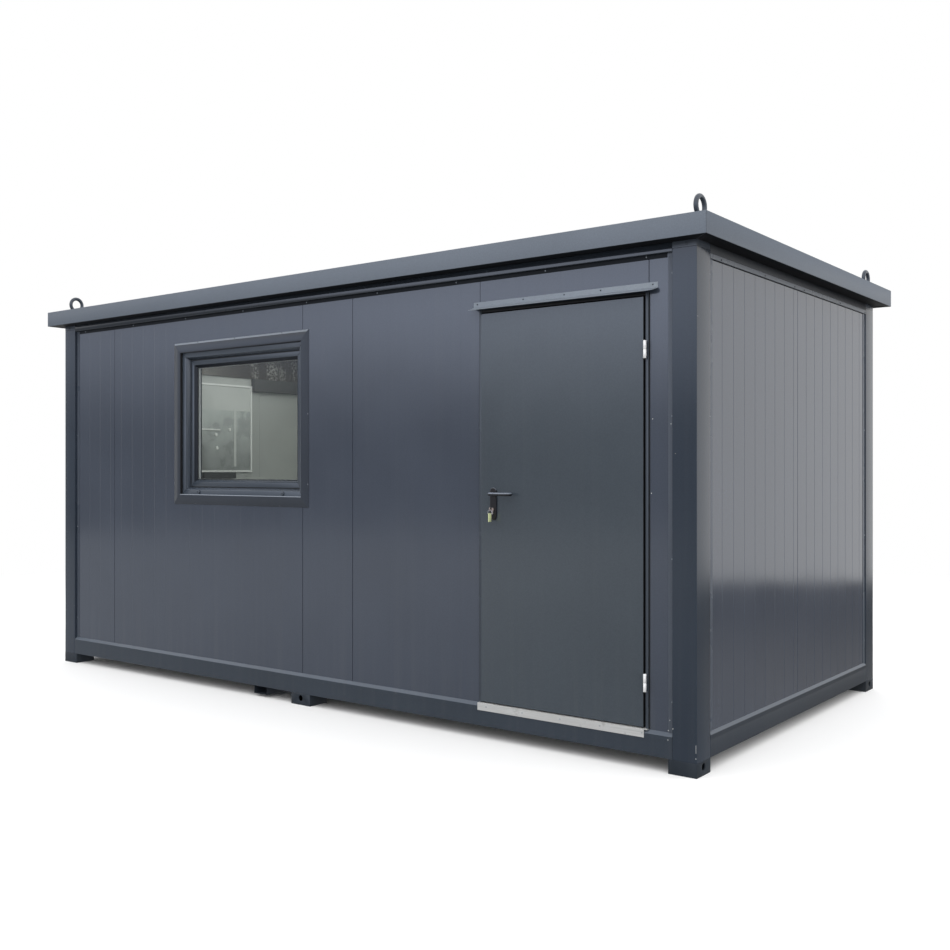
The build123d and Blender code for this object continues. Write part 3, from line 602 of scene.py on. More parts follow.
board_white = painted("board_white", "E4E6E4", rough=0.3, drift=0.02, grime=0.02)
board_pale = painted("board_pale", "C2C6C3", rough=0.3, drift=0.12, grime=0.05)
duct_grey = painted("duct_grey", "4C4E4C", rough=0.5)
tray_grey = painted("tray_grey", "3A3C3C", rough=0.5)
wiped_board, tree, place = material("wiped_board")
spot = parts_of(tree, place)
smear = noise(tree, place, 7.0, 8.0)
# Painted shade: the board is coloured darker towards its foot, and darker still in one lower corner; the
# smears are its own.
low_corner = maths(tree, "MULTIPLY", ramp(tree, spot["Z"], 1.50, 1.68, 1.0, 0.0),
                   ramp(tree, spot["Y"], -0.25, 0.0, 0.6, 0.0))
shade = maths(tree, "SUBTRACT", ramp(tree, spot["Z"], 1.36, 1.80, 0.60, 1.0), low_corner)
tone = maths(tree, "MULTIPLY", shade, ramp(tree, smear, 0.3, 0.7, 0.80, 1.12))
coat(tree, toned(tree, "B4BAB8", tone), ramp(tree, smear, 0.3, 0.7, 0.2, 0.35))
dark_ply, tree, place = material("dark_ply")
drip = noise(tree, place, 1.0, 6.0, stretch=(11.0, 11.0, 2.5))
grain = noise(tree, place, 70.0, 5.0)
along = parts_of(tree, place)["Y"]
chalk = maths(tree, "MULTIPLY", ramp(tree, drip, 0.48, 0.66), ramp(tree, grain, 0.42, 0.62))
chalk = maths(tree, "MULTIPLY", chalk, ramp(tree, along, 0.05, 0.45, 0.1, 0.8))
# The strip is coloured darker towards its rear end, with pale chalky streaks over it.
colour = blend(tree, ramp(tree, along, -0.3, 0.4), linear("76746C"), linear("403C35"))
colour = blend(tree, chalk, colour, linear("A4A49E"))
coat(tree, colour, ramp(tree, grain, 0.3, 0.7, 0.5, 0.7), bump(tree, grain, 0.3, 0.0005))

board_start, board_end, board_low, board_high = -0.300, 0.405, 1.345, 2.055
board_split = 1.845
bar = 0.015
bar_stand = 0.012
head_stand = 0.0065
foot_stand = 0.0060
inner_start, inner_end = board_start + bar, board_end - bar
bars = [fitting(*reach, bar_stand) for reach in (
    (board_start, inner_start, board_low, board_high), (inner_end, board_end, board_low, board_high),
    (inner_start, inner_end, board_low, board_low + bar),
    (inner_start, inner_end, board_high - bar, board_high))]
clip = fitting(-0.111, 0.073, 1.680, 1.692, 0.011, head_stand)
magnet_places = [(inner_x + head_stand, y, z) for y, z in ((0.03, 1.646), (0.04, 1.539), (0.17, 1.690))]
magnets = turned(magnet_places, X, [(0.014, 0.0), (0.014, 0.004), (0.010, 0.006)], 20)
rule = fitting(0.215, 0.240, 1.390, 1.860, 0.0078, foot_stand)
head = fitting(inner_start, inner_end, board_split, board_high - bar, head_stand)
foot = fitting(inner_start, inner_end, board_low + bar, board_split, foot_stand)
tray = fitting(-0.111, 0.207, 1.294, 1.341, 0.045)
duct = fitting(board_end + 0.001, 1.100, 2.015, 2.117, 0.040)
strip = fitting(-1.100, 1.100, 2.118, ceiling_low - 0.002, 0.012)
for name, part, paint, edge in (
        ("board_bars", joined(*bars, clip, magnets), board_white, 0.001),
        ("board_head", head, board_pale, 0.0), ("board_foot", foot, wiped_board, 0.0),
        ("board_rule", rule, board_pale, 0.0004),
        ("board_tray", tray, tray_grey, 0.002), ("cable_duct", duct, duct_grey, 0.002),
        ("head_board", strip, dark_ply, 0.001)):
    piece(name, part, [paint], edge=edge)


# ---- Ceiling and top rails ----------------------------------------------------------------
# Lined ceiling panels on the folded top rails, which run between the post heads just under
# the roof edge and are riveted at even steps.
def on_wall(side, depth, places):
    """Points on a wall, from places across and up, at a depth inwards."""
    across, inward = axes_of(side)
    return [at * across + depth * inward + height * Z for at, height in places]


def screws(places, outward, radius, height):
    """Pan heads with a round driver socket, turned from shares of the radius and height."""
    rings = [(1.0, 0.0), (0.96, 0.55), (0.62, 1.0), (0.36, 1.0), (0.3, 0.4)]
    return turned(places, outward, np.array(rings) * (radius, height), sides=10)


def repaint(thing, paint_number):
    """Gives each face of a piece the paint number that a rule works out from the face."""
    for face in thing.data.polygons:
        face.material_index = int(paint_number(face))


ceiling_lining = lining.copy()
ceiling_lining.name = "ceiling_lining"
cleaned("ceiling", "ceiling_panel", [ceiling_lining], 0.0)
top_rail_paint = painted("top_rail_paint", "2A3038", rough=0.07, drift=0.03, grime=0.0, peel=0.1, shine=0.9)
# The rails' end faces take a darker, rougher copy of the rail paint: a painted shade under the roof's edge.
end_face_shade_paint = painted("end_face_shade_paint", "23282F", rough=0.5, grime=0.03, shine=0.3)
roof_rails = cleaned("top_rails", "roof_rails", [top_rail_paint, end_face_shade_paint], 0.0025)
repaint(roof_rails, lambda face: abs(face.normal.x) > 0.5)
rivet_pitch = 0.552
rivet_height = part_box("top_rails")[1].z - 0.018
rivet_line = [(at, rivet_height) for at in 1.850 - rivet_pitch * np.arange(8)]
for side in long_sides:
    places = on_wall(side, span(side, f"base_rail_{side}")[1][0], rivet_line)
    rivets = screws(places, -axes_of(side)[1], 0.0035, 0.0014)
    piece(f"rail_rivets_{side}", rivets, [post_paint])

# ---- Cover strips -------------------------------------------------------------------------
# Folded sheet strips screwed over the panel edges along the top rails and down the posts. On
# the end walls the head strip stands flush with the posts, over a thin black strip that is a
# painted shadow line; on the long sides the head channel is painted near black, a painted shade.
strip_paint = painted("strip_paint", "4A515C", rough=0.28)
# A near-black paint: a painted shade on the long sides' head channel, on the end walls' shadow line and on
# the rain shed's underside, and the colour of some dark screws.
shade_and_screw_black = painted("shade_and_screw_black", "171B20", rough=0.55, grime=0.03, shine=0.2)
screw_zinc = painted("screw_heads", "8A9098", rough=0.35)
strip_sheet = 0.002
strip_gap = 0.0006
strip_margin = 0.0005
screw_margin = 0.008
strip_screw = (0.0036, 0.0016)
channel_screw = (0.0036, 0.0018)
end_screw = (0.0042, 0.0018)
slot_height = 0.020
slot_inset = 0.005
upright_width = 0.028
end_band = 0.022
end_upright = 0.036
shadow_line_drop = 0.0035
shadow_line_sheet = 0.0012
rail_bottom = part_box("top_rails")[0].z
sill_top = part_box("base_rail_front")[1].z
channel_line = 2.192 - rivet_pitch * np.arange(9)
end_line = (-0.989, -0.475, -0.075, 0.062, 0.636, 1.087)
upright_line = np.arange(0.32, 2.3, 0.643)


def flat_strip(side, low, high, thickness, start_height, end_height):
    """A flat strip on a panel face between two places across and two heights."""
    across, inward = axes_of(side)
    outline = oblong((low, panel_face[side] - thickness), (high, panel_face[side]))
    return run(outline, start_height * Z, across, inward, Z, end_height - start_height)


for side in sides:
    outward = -axes_of(side)[1]
    (start, end), (post_face, _), _ = span(side, f"base_rail_{side}")
    band_low = rail_bottom - (slot_height if side in long_sides else end_band)
    width = upright_width if side in long_sides else end_upright
    surface = panel_face[side] - strip_sheet
    uprights = [flat_strip(side, low, high, strip_sheet, sill_top + 0.002, band_low - strip_gap)
                for low, high in ((start + strip_margin, start + width), (end - width, end - strip_margin))]
    if side in long_sides:
        inset = width + slot_inset
        band = flat_strip(side, start + inset, end - inset, strip_sheet, band_low, rail_bottom)
        ears = [flat_strip(side, low, high, strip_sheet, band_low, rail_bottom)
                for low, high in ((start, start + width), (end - width, end))]
        piece(f"head_channel_{side}", band, [shade_and_screw_black], edge=0.0004)
        piece(f"post_strips_{side}", joined(*uprights, *ears), [strip_paint],
              node="cover_strips" if side == "front" else None, edge=0.0004)
        line = [(at, rail_bottom - screw_margin) for at in channel_line if at > start + inset]
        heads = on_wall(side, surface, line)
        piece(f"channel_screws_{side}", screws(heads, outward, *channel_screw), [screw_zinc])
    else:
        band = flat_strip(side, start, end, panel_face[side] - post_face, band_low, rail_bottom)
        # A black strip just under the end band: a painted shadow line.
        dark_strip = flat_strip(side, start + width, end - width, shadow_line_sheet, band_low - shadow_line_drop, band_low)
        piece(f"head_strip_{side}", joined(band, *uprights), [strip_paint], edge=0.0004)
        piece(f"head_shadow_line_{side}", dark_strip, [shade_and_screw_black])
        heads = on_wall(side, post_face, [(at, band_low + screw_margin) for at in end_line])
        piece(f"strip_screws_{side}", screws(heads, outward, *end_screw), [shade_and_screw_black])
    heads = on_wall(side, surface, [(at, height) for at in (start + screw_margin, end - screw_margin)
                                    for height in upright_line])
    piece(f"upright_screws_{side}", screws(heads, outward, *strip_screw), [screw_zinc])

# ---- Window -------------------------------------------------------------------------------
# A plastic frame and sash with mitred corners, behind a folded metal trim that is screwed to
# the wall. The sealed unit is two panes on a metal spacer, bedded in black rubber.
# The outer frame takes a paler copy of the sash's plastic: painted light that lifts it out of the trim's
# shade.
lit_frame_plastic = painted("lit_frame_plastic", "454D58", rough=0.22, grime=0.03, shine=0.8)
window_plastic = painted("window_plastic", "3B434D", rough=0.22, grime=0.03, shine=0.8)
reveal_shade_paint = painted("window_reveal", "1C2128", rough=0.4, grime=0.02, shine=0.3)
trim_dark = painted("window_trim_paint", "2F353F", rough=0.3, grime=0.04)
trim_highlight = painted("window_trim_highlight", "868E99", rough=0.35, grime=0.03)
# Black rubber for the seals and beads; the same black is painted on as shade on the trim's returns, the door
# frame's head and the leaf's hinge edge.
black_rubber_and_shade = painted("window_rubber", "101214", rough=0.6)
spacer_metal = painted("spacer_metal", "A9ADB0", rough=0.3)
window_low, window_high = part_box("window_frame")
bead_front, bead_back = -1.179, -1.160


def within(face, low, high, margin):
    """Whether a face's middle lies more than a margin inside the outline of a box."""
    x, _, z = face.center
    return low.x + margin < x < high.x - margin and low.z + margin < z < high.z - margin


def in_reveal(face):
    """Whether a face looks into the window's opening from above or from a side."""
    return abs(face.normal.y) < 0.1 and face.normal.z < 0.5 and within(face, window_low, window_high, 0.03)


def on_bead(face):
    """Whether a face lies on the slope round the pane and doesn't look up."""
    return bead_front < face.center.y < bead_back and face.normal.y < -0.1 and face.normal.z < 0.3


# Faces that look into the opening, and the sash's slope round the pane, take a near-black paint: a painted
# shade in the recess.
for node, name, plastic, rule in (
        ("window_frame", "window_outer_frame", lit_frame_plastic, in_reveal),
        ("window_sash", "window_inner_sash", window_plastic, lambda face: in_reveal(face) or on_bead(face))):
    repaint(cleaned(node, name, [plastic, reveal_shade_paint], 0.0022), rule)
drain_height = window_low.z + 0.032
drains = [(x, window_low.y, drain_height) for x in (window_low.x + 0.18, window_high.x - 0.19)]
piece("drain_caps", turned(drains, -Y, [(0.013, 0.0), (0.012, 0.005), (0.008, 0.006)]), [window_plastic],
      smooth=True)


def ring(low, high, margin, section):
    """A square ring a margin inside a box: four mitred runs of a section, each of whose points
    is a distance in from the ring's outer edge and a place along Y."""
    x0, z0, x1, z1 = low[0] + margin, low[2] + margin, high[0] - margin, high[2] - margin
    width, height = x1 - x0, z1 - z0
    runs = (((x0, 0, z0), Z, X, width), ((x1, 0, z0), -X, Z, height),
            ((x1, 0, z1), -Z, -X, width), ((x0, 0, z1), X, -Z, height))
    return joined(*(run(section, start, inwards, Y, along, length, cut=(1.0, 1.0))
                    for start, inwards, along, length in runs))


trim_low, trim_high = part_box("window_trim")
wall_face = panel_face["front"]
lip = 0.012
trim_bar = 0.064
trim_chamfer = 0.004
trim_lean = 0.0008
trim_sheet = 0.0015
section = [
    (0.0, wall_face), (0.0, wall_face - trim_sheet), (lip, trim_low.y),
    (trim_bar - trim_chamfer, trim_low.y + trim_lean), (trim_bar, trim_low.y + trim_chamfer),
    (trim_bar, trim_high.y), (trim_bar - trim_sheet, trim_high.y), (trim_bar - trim_sheet, wall_face),
]


def trim_paint_number(face):
    """1 for the pale paint over the head's lip and the sill's top, a painted highlight, 2 for the black on
    the returns within, a painted shade.
    """
    inner = within(face, trim_low, trim_high, trim_bar - 0.005)
    head_lip = face.normal.z > 0.1 and face.center.z > trim_high.z - lip and face.normal.y < -0.5
    if head_lip or (inner and face.normal.z > 0.5):
        return 1
    return 2 if inner and abs(face.normal.y) < 0.1 else 0


# The trim's upward faces are painted pale, a painted highlight, and its inner returns black, a painted shade.
trim = piece("window_surround", ring(trim_low, trim_high, 0.0, section), [trim_dark, trim_highlight, black_rubber_and_shade],
             node="window_trim", edge=0.0006)
repaint(trim, trim_paint_number)
lip_y = wall_face - 0.0034
lip_middle = 0.006
head_screws = [(x, lip_y, trim_high.z - lip_middle)
               for x in (trim_low.x + 0.238, trim_low.x + 0.590, trim_high.x - 0.224)]
piece("trim_head_screws", screws(head_screws, -Y, 0.0040, 0.0022), [shade_and_screw_black])
foot_screws = [(x, lip_y, trim_low.z + 0.008)
               for x in (trim_low.x + 0.216, trim_low.x + 0.621, trim_high.x - 0.243)]
side_screws = [(x, lip_y, z) for x in (trim_high.x - lip_middle, trim_low.x + lip_middle)
               for z in (trim_low.z + 0.136, trim_high.z - 0.490)]
piece("trim_screws", screws(foot_screws + side_screws, -Y, 0.0036, 0.0020), [screw_zinc])

glass_low, glass_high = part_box("window_glass")
sash_low, sash_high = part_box("window_sash")
pane_thickness = 0.004
spacer_width = 0.0125
bead_margin = 0.006
spacer = oblong((0.0, glass_low.y + pane_thickness), (spacer_width, glass_high.y - pane_thickness))
piece("pane_spacer", ring(glass_low, glass_high, 0.002, spacer), [spacer_metal], edge=0.0004)
lip_seal = oblong((0.0, sash_low.y - 0.0016), (0.006, sash_low.y - 0.0001))
piece("sash_seal", ring(sash_low, sash_high, -0.001, lip_seal), [black_rubber_and_shade], edge=0.0004)
bead = oblong((0.0, glass_low.y - 0.0025), (0.008, glass_low.y))
piece("pane_bead", ring(glass_low, glass_high, bead_margin, bead), [black_rubber_and_shade], edge=0.0008)

glass, tree, place = material("clear_glass")
haze = noise(tree, place, 5.0, 6.0)
clear = add(tree, "BsdfTransparent", {"Color": linear("FAFBFA")}).outputs[0]
mirror = {"Color": linear("FFFFFF"), "Roughness": ramp(tree, haze, 0.4, 0.7, 0.0, 0.015)}
mirror = add(tree, "BsdfGlossy", mirror).outputs[0]
front_face = maths(tree, "SUBTRACT", 1.0, add(tree, "NewGeometry").outputs["Backfacing"])
turned_away = maths(tree, "MULTIPLY", add(tree, "Fresnel", {"IOR": 1.45}).outputs[0], front_face)
add(tree, "OutputMaterial", {"Surface": mixed(tree, turned_away, clear, mirror)})
outline = rounded(oblong((glass_low.x, glass_low.z), (glass_high.x, glass_high.z)), 0.002, 2)
panes = [run(outline, y * Y, X, Z, Y, pane_thickness) for y in (glass_low.y, glass_high.y - pane_thickness)]
piece("window_panes", joined(*panes), [glass], node="window_glass")

# ---- Door frame, threshold and rain cap -----------------------------------------------------
# A folded steel frame set in the wall, with a rubber seal on its stop, an aluminium threshold
# screwed over the base rail, and a bent sheet above that throws rain clear of the leaf.
frame_paint = painted("door_frame_paint", "3D444D", rough=0.28)
surround = cleaned("door_frame", "door_surround", [frame_paint, black_rubber_and_shade], 0.0012)
frame_low, frame_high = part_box("door_frame")
leaf_low, leaf_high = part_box("door_leaf")
# The frame's head above the leaf is painted black: a painted shade under the rain shed.
repaint(surround, lambda face: face.center.z > leaf_high.z + 0.002)
stop_edge = 0.039
stop_y = leaf_high.y + 0.006
head_stop = bar_between((frame_low.x + stop_edge, stop_y, leaf_high.z - 0.015),
                        (frame_high.x - stop_edge, frame_high.y, frame_high.z - 0.0005))
sill_stop = bar_between((frame_low.x + stop_edge, stop_y, frame_low.z),
                        (frame_high.x - stop_edge, stop_y + 0.004, leaf_low.z + 0.012))
piece("door_stops", joined(head_stop, sill_stop), [frame_paint], edge=0.0008)

seal_width = 0.013
seal_y = leaf_high.y + 0.0004
seal_top = leaf_high.z + 0.005
outer_left, outer_right = leaf_low.x + 0.001, leaf_high.x - 0.001
inner_left, inner_right = outer_left + seal_width, outer_right - seal_width
dark_strip = [bar_between((start_x, seal_y, low_z), (end_x, stop_y, high_z)) for start_x, end_x, low_z, high_z in (
    (outer_left, inner_left, frame_low.z, seal_top), (inner_right, outer_right, frame_low.z, seal_top),
    (inner_left, inner_right, leaf_high.z - seal_width, seal_top),
    (inner_left, inner_right, frame_low.z, leaf_low.z + 0.010))]
piece("door_seal", joined(*dark_strip), [black_rubber_and_shade], edge=0.0006)
sealant = bar_between((frame_high.x, wall_face - 0.0010, frame_low.z),
                      (frame_high.x + 0.0065, wall_face, frame_high.z - 0.003))
piece("frame_sealant", sealant, [black_rubber_and_shade], edge=0.0003)

threshold_metal, tree, place = material("brushed_threshold")
brush = noise(tree, place, 1.0, 4.0, stretch=(3.0, 500.0, 500.0))
scuff = noise(tree, place, 14.0, 8.0)
colour = blend(tree, ramp(tree, brush, 0.3, 0.7), linear("C2C2C0"), linear("D8D8D6"))
colour = blend(tree, ramp(tree, scuff, 0.55, 0.75, 0.0, 0.5), colour, linear("77746E"))
coat(tree, colour, ramp(tree, scuff, 0.3, 0.7, 0.35, 0.55), bump(tree, brush, 0.3, 0.0003), metal=0.3)
low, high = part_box("threshold")
rail_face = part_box("base_rail_front")[0].y
nose = bar_between(low, (high.x - 0.015, rail_face, high.z))
plate = bar_between((low.x, rail_face, sill_top), high)
piece("threshold_plate", joined(nose, plate), [threshold_metal], node="threshold",
      edge=0.0006)
sill_screws = [(x, low.y, low.z + 0.021) for x in np.linspace(low.x + 0.055, high.x - 0.025, 5)]
piece("threshold_screws", screws(sill_screws, -Y, 0.0042, 0.0016), [spacer_metal])

cap_sheet_paint = painted("rain_cap_paint", "87909B", rough=0.3, grime=0.05)
shed = cleaned("rain_cap", "rain_shed", [cap_sheet_paint, shade_and_screw_black], 0.0006)
# Its underside is painted near black: a painted shade.
repaint(shed, lambda face: face.normal.z < -0.3)
low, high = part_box("rain_cap")
shed_screws = [(low.x + at, high.y - 0.002, high.z - 0.011) for at in (0.023, 0.306, 0.546, 0.749, 1.023)]
piece("rain_shed_screws", screws(shed_screws, -Y, *strip_screw), [shade_and_screw_black])

# ---- Chipped paint ------------------------------------------------------------------------
# Small chips and one scratch, down to the pale primer, where things knock against the cabin:
# low on the right-hand front post, and on the cover strip, sill and wall beside the door.
primer = painted("bare_primer", "C4C6C6", rough=0.5)
strip_face = wall_face - strip_sheet
chips = [
    (2.223, wall_face, 1.596), (2.316, strip_face, 1.571), (2.217, wall_face, 1.257),
    (2.310, strip_face, 0.237), (2.303, strip_face, 0.190),
    (2.334, rail_face, 0.205), (2.446, rail_face, 0.088), (2.310, rail_face - cap_sheet, 0.152)]
scratch = bar_between((2.4455, rail_face - 0.0002, 0.112), (2.4472, rail_face, 0.148))
spots = turned(chips, -Y, [(0.0026, 0.0), (0.0024, 0.0003)], 8)
piece("paint_chips", joined(spots, scratch), [primer])

# ---- Door leaf ----------------------------------------------------------------------------
# An insulated leaf of folded sheet, flush on both faces, with its hinge edge painted black, a
# painted shade in the gap there, and a lap over its lock edge. It hangs on zinc-plated lift-off hinges.
door_paint = painted("door_paint", "404850", rough=0.14, drift=0.04, grime=0.05, sag=0.0012, shine=0.9)
leaf_fold = 0.003
hinge_edge = slice(7, 10)
outline = rounded(oblong(leaf_low, leaf_high), leaf_fold)
edge_paint = np.zeros(len(outline), int)
edge_paint[hinge_edge] = 1
slab = run(outline, leaf_low.z * Z, X, Y, Z, leaf_high.z - leaf_low.z, paint=edge_paint)
lap = bar_between((leaf_low.x - 0.0066, leaf_low.y + 0.0004, leaf_low.z + 0.001),
                  (leaf_low.x + 0.004, frame_low.y - 0.0002, leaf_high.z - 0.001))
piece("leaf", joined(slab, lap), [door_paint, black_rubber_and_shade], body="door", node="door_leaf",
      edge=0.0006)

hinge_zinc, tree, place = material("zinc_plate")
cloud = noise(tree, place, 90.0, 5.0)
colour = blend(tree, ramp(tree, cloud, 0.35, 0.65), linear("F4F4F4"), linear("FFFFFF"))
coat(tree, colour, ramp(tree, cloud, 0.3, 0.7, 0.3, 0.42), bump(tree, cloud, 0.1, 0.0002), metal=0.2)
low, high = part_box("frame_hinges")
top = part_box("leaf_hinges")[1].z
knuckle = (high.x - low.x) / 2
pin_x, pin_y = low.x + knuckle, low.y + knuckle
half = 0.041
split = 0.0002
knuckle_edge = 0.0013
bore = 0.0062
lug_y = pin_y + knuckle / 2
barrel = [(bore, 0.0), (knuckle, knuckle_edge), (knuckle, half - knuckle_edge - split), (bore, half - split)]
middles = np.array([(pin_x, pin_y, low.z + half), (pin_x, pin_y, top - half)])
for name, node, body, lift, paint, lug_x, lug_back in (
        ("pins", "frame_hinges", "cabin", -half, frame_paint, (pin_x, high.x), frame_low.y),
        ("knuckles", "leaf_hinges", "door", split, door_paint, (leaf_high.x - 0.006, pin_x), leaf_low.y)):
    lug = [(lug_x[0], lug_y), (lug_x[1], lug_y), (lug_x[1], lug_back), (lug_x[0], lug_back)]
    lugs = [run(lug, (middle[2] + lift) * Z, X, Y, Z, half - split) for middle in middles]
    piece(f"hinge_{name}", turned(middles + lift * Z, Z, barrel, 24), [hinge_zinc],
          body=body, node=node, smooth=True)
    piece(f"hinge_lugs_{name}", joined(*lugs), [paint], body=body, edge=0.0004)


# ---- Lever handle, lock and keys ------------------------------------------------------------
# Black plastic plates and lacquered levers over a steel core, a nickel-plated lock barrel, and
# a key left in it with a steel ring and a pale plastic tag.
def with_top_highlight(name, code, highlight_code, rough, shine):
    """Black plastic or lacquer painted pale on its upper side, a painted highlight: the share of the
    pale tone follows the upward part of the surface's own normal, broken up by fine marks."""
    paint, tree, place = material(name)
    up = parts_of(tree, place.node.outputs["Normal"])["Z"]
    mark = noise(tree, place, 120.0, 4.0)
    top_highlight = maths(tree, "MULTIPLY", ramp(tree, up, 0.05, 0.6), ramp(tree, mark, 0.2, 0.6, 0.75, 1.0))
    colour = blend(tree, top_highlight, linear(code), linear(highlight_code))
    gloss = ramp(tree, mark, 0.3, 0.7, rough - 0.03, rough + 0.05)
    coat(tree, colour, gloss, bump(tree, mark, 0.1, 0.0001), shine=shine)
    return paint


def bright(name, code, rough):
    """Polished metal with fine scratches that catch the light."""
    metal, tree, place = material(name)
    mark = noise(tree, place, 500.0, 4.0)
    tone = ramp(tree, noise(tree, place, 60.0, 3.0), 0.3, 0.7, 0.85, 1.0)
    gloss = ramp(tree, mark, 0.3, 0.7, rough - 0.05, rough + 0.08)
    coat(tree, toned(tree, code, tone), gloss, bump(tree, mark, 0.15, 0.0001), metal=1.0)
    return metal


def long_round(half_width, bottom, top, steps=16):
    """A long outline: straight sides between two half circles of turn t."""
    t = np.linspace(0.0, math.pi, steps + 1)
    head = np.stack([half_width * np.cos(t), top - half_width + half_width * np.sin(t)], 1)
    foot = np.stack([-half_width * np.cos(t), bottom + half_width - half_width * np.sin(t)], 1)
    return np.vstack([head, foot])


def bent(corners_of_path, bend, steps=10):
    """A path with right-angled corners turned to arcs: from an arc's centre, each point lies
    bend times (sine of t along the way in, less cosine of t along the way out)."""
    path = np.asarray(corners_of_path, float)
    ways = np.diff(path, axis=0)
    ways /= np.linalg.norm(ways, axis=1)[:, None]
    t = np.linspace(0.0, math.pi / 2, steps + 1)[None, :, None]
    into, out = ways[:-1, None], ways[1:, None]
    centre = path[1:-1, None] + bend * (out - into)
    arcs = centre + bend * (np.sin(t) * into - np.cos(t) * out)
    return np.vstack([path[:1], arcs.reshape(-1, 3), path[-1:]])


def round_bar(path, radius, tip=0.002, about=24):
    """A round bar on a level path: each point has a ring of turns s, its radius times (cosine s
    of the path's side and sine s upwards), and the last rings draw in to an eased tip."""
    ends = (path[-1] - path[-2]) / np.linalg.norm(path[-1] - path[-2])
    path = np.vstack([path[:-1], path[-1] - tip * ends, path[-1] - tip * 0.35 * ends, path[-1]])
    size = np.full(len(path), radius)
    size[-2:] = (radius - tip * 0.3, radius - tip)
    way = np.gradient(path, axis=0)
    way /= np.linalg.norm(way, axis=1)[:, None]
    s = 2.0 * math.pi * np.arange(about) / about
    side = np.cross(way, Z)
    circle = np.cos(s)[None, :, None] * side[:, None] + np.sin(s)[None, :, None] * Z
    points = (path[:, None] + size[:, None, None] * circle).reshape(-1, 3)
    low_ring = (about * np.arange(len(path) - 1))[:, None]
    k = np.arange(about)
    j = (k + 1) % about
    faces = np.stack([low_ring + k, low_ring + about + k, low_ring + about + j, low_ring + j], -1)
    faces = faces.reshape(-1, 4).tolist() + [k.tolist(), (k[::-1] + about * (len(path) - 1)).tolist()]
    return points, faces, [0] * len(faces)


# Both take a painted highlight on their upper side.
handle_black = with_top_highlight("handle_plastic", "191719", "6A707A", 0.32, 0.5)
lever_black = with_top_highlight("lever_lacquer", "0A0B0D", "7E8694", 0.22, 0.8)
shield_low, shield_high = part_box("handle_plates")
spindle_x = (shield_low.x + shield_high.x) / 2
shield_shift = 0.0022
outline = long_round((shield_high.x - shield_low.x) / 2 + shield_shift, shield_low.z, shield_high.z)
outline += (spindle_x + shield_shift, 0.0)
shields = joined(run(outline, shield_low.y * Y, X, Z, Y, leaf_low.y - shield_low.y),
                 run(outline, leaf_high.y * Y, X, Z, Y, shield_high.y - leaf_high.y))
piece("handle_shields", shields, [handle_black], body="door", node="handle_plates",
      edge=0.0025)

lever_low, lever_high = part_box("lever_handle")
lever_bar = 0.0085
lever_bend = 0.016
lever_return = 0.012
running_gap = 0.0003
collar_radius = (lever_high.z - lever_low.z) / 2
collar = [(collar_radius, 0.0), (collar_radius, 0.0066), (collar_radius - 0.0007, 0.0076), (0.0070, 0.0077)]
spindle_z = (lever_high.z + lever_low.z) / 2
end_x = lever_high.x - lever_bar - 0.010
halves = []
for shield_face, reach, outward in ((shield_low.y, lever_low.y + lever_bar, -1.0),
                                    (shield_high.y, lever_high.y - lever_bar, 1.0)):
    start_y = shield_face + outward * running_gap
    end_y = reach - outward * (lever_bend + lever_return)
    way = [(spindle_x, start_y, spindle_z), (spindle_x, reach, spindle_z), (end_x, reach, spindle_z),
           (end_x, end_y, spindle_z)]
    halves.append(round_bar(bent(way, lever_bend), lever_bar))
    halves.append(turned([(spindle_x, start_y, spindle_z)], outward * Y, collar, 32))
piece("lever", joined(*halves), [lever_black], body="lever", node="lever_handle",
      smooth=True)

nickel = bright("lock_nickel", "D6CCC4", 0.3)
barrel_low, barrel_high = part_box("lock_cylinder")
plug = (barrel_high.x - barrel_low.x) / 2
web = 0.005
plug_z = barrel_high.z - plug
start = -math.acos(web / plug)
t = np.linspace(start, math.pi - start, 25)
plug_round = np.stack([plug * np.cos(t), plug_z + plug * np.sin(t)], 1)
t = np.linspace(math.pi, 2.0 * math.pi, 13)
web_round = np.stack([web * np.cos(t), barrel_low.z + web + web * np.sin(t)], 1)
outline = np.vstack([plug_round, web_round]) + (spindle_x, 0.0)
barrels = joined(run(outline, barrel_low.y * Y, X, Z, Y, shield_low.y - barrel_low.y),
                 run(outline, shield_high.y * Y, X, Z, Y, barrel_high.y - shield_high.y))
piece("lock_barrel", barrels, [nickel], body="door", node="lock_cylinder", edge=0.0004)

steel = bright("key_steel", "E4E6EA", 0.35)
rubbed_key = bright("rubbed_key", "E0CFC4", 0.3)
tag_plastic = painted("tag_plastic", "E4EDB4", rough=0.35, drift=0.03, grime=0.02)
key_set = cleaned("keys", "key_set", [steel, rubbed_key, tag_plastic], 0.0002, body="door")
place = np.array([list(vertex.co) for vertex in key_set.data.vertices])
edges = np.array([list(edge.vertices) for edge in key_set.data.edges])
island = np.arange(len(place))
for _ in range(60):
    np.minimum.at(island, edges[:, 0], island[edges[:, 1]])
    np.minimum.at(island, edges[:, 1], island[edges[:, 0]])
labels = np.unique(island)
widest = max(labels, key=lambda label: np.ptp(place[island == label][:, 0]))
lowest = min(labels, key=lambda label: place[island == label][:, 2].min())
paint_of = {lowest: 2, widest: 0}
repaint(key_set, lambda face: paint_of.get(island[face.vertices[0]], 1))

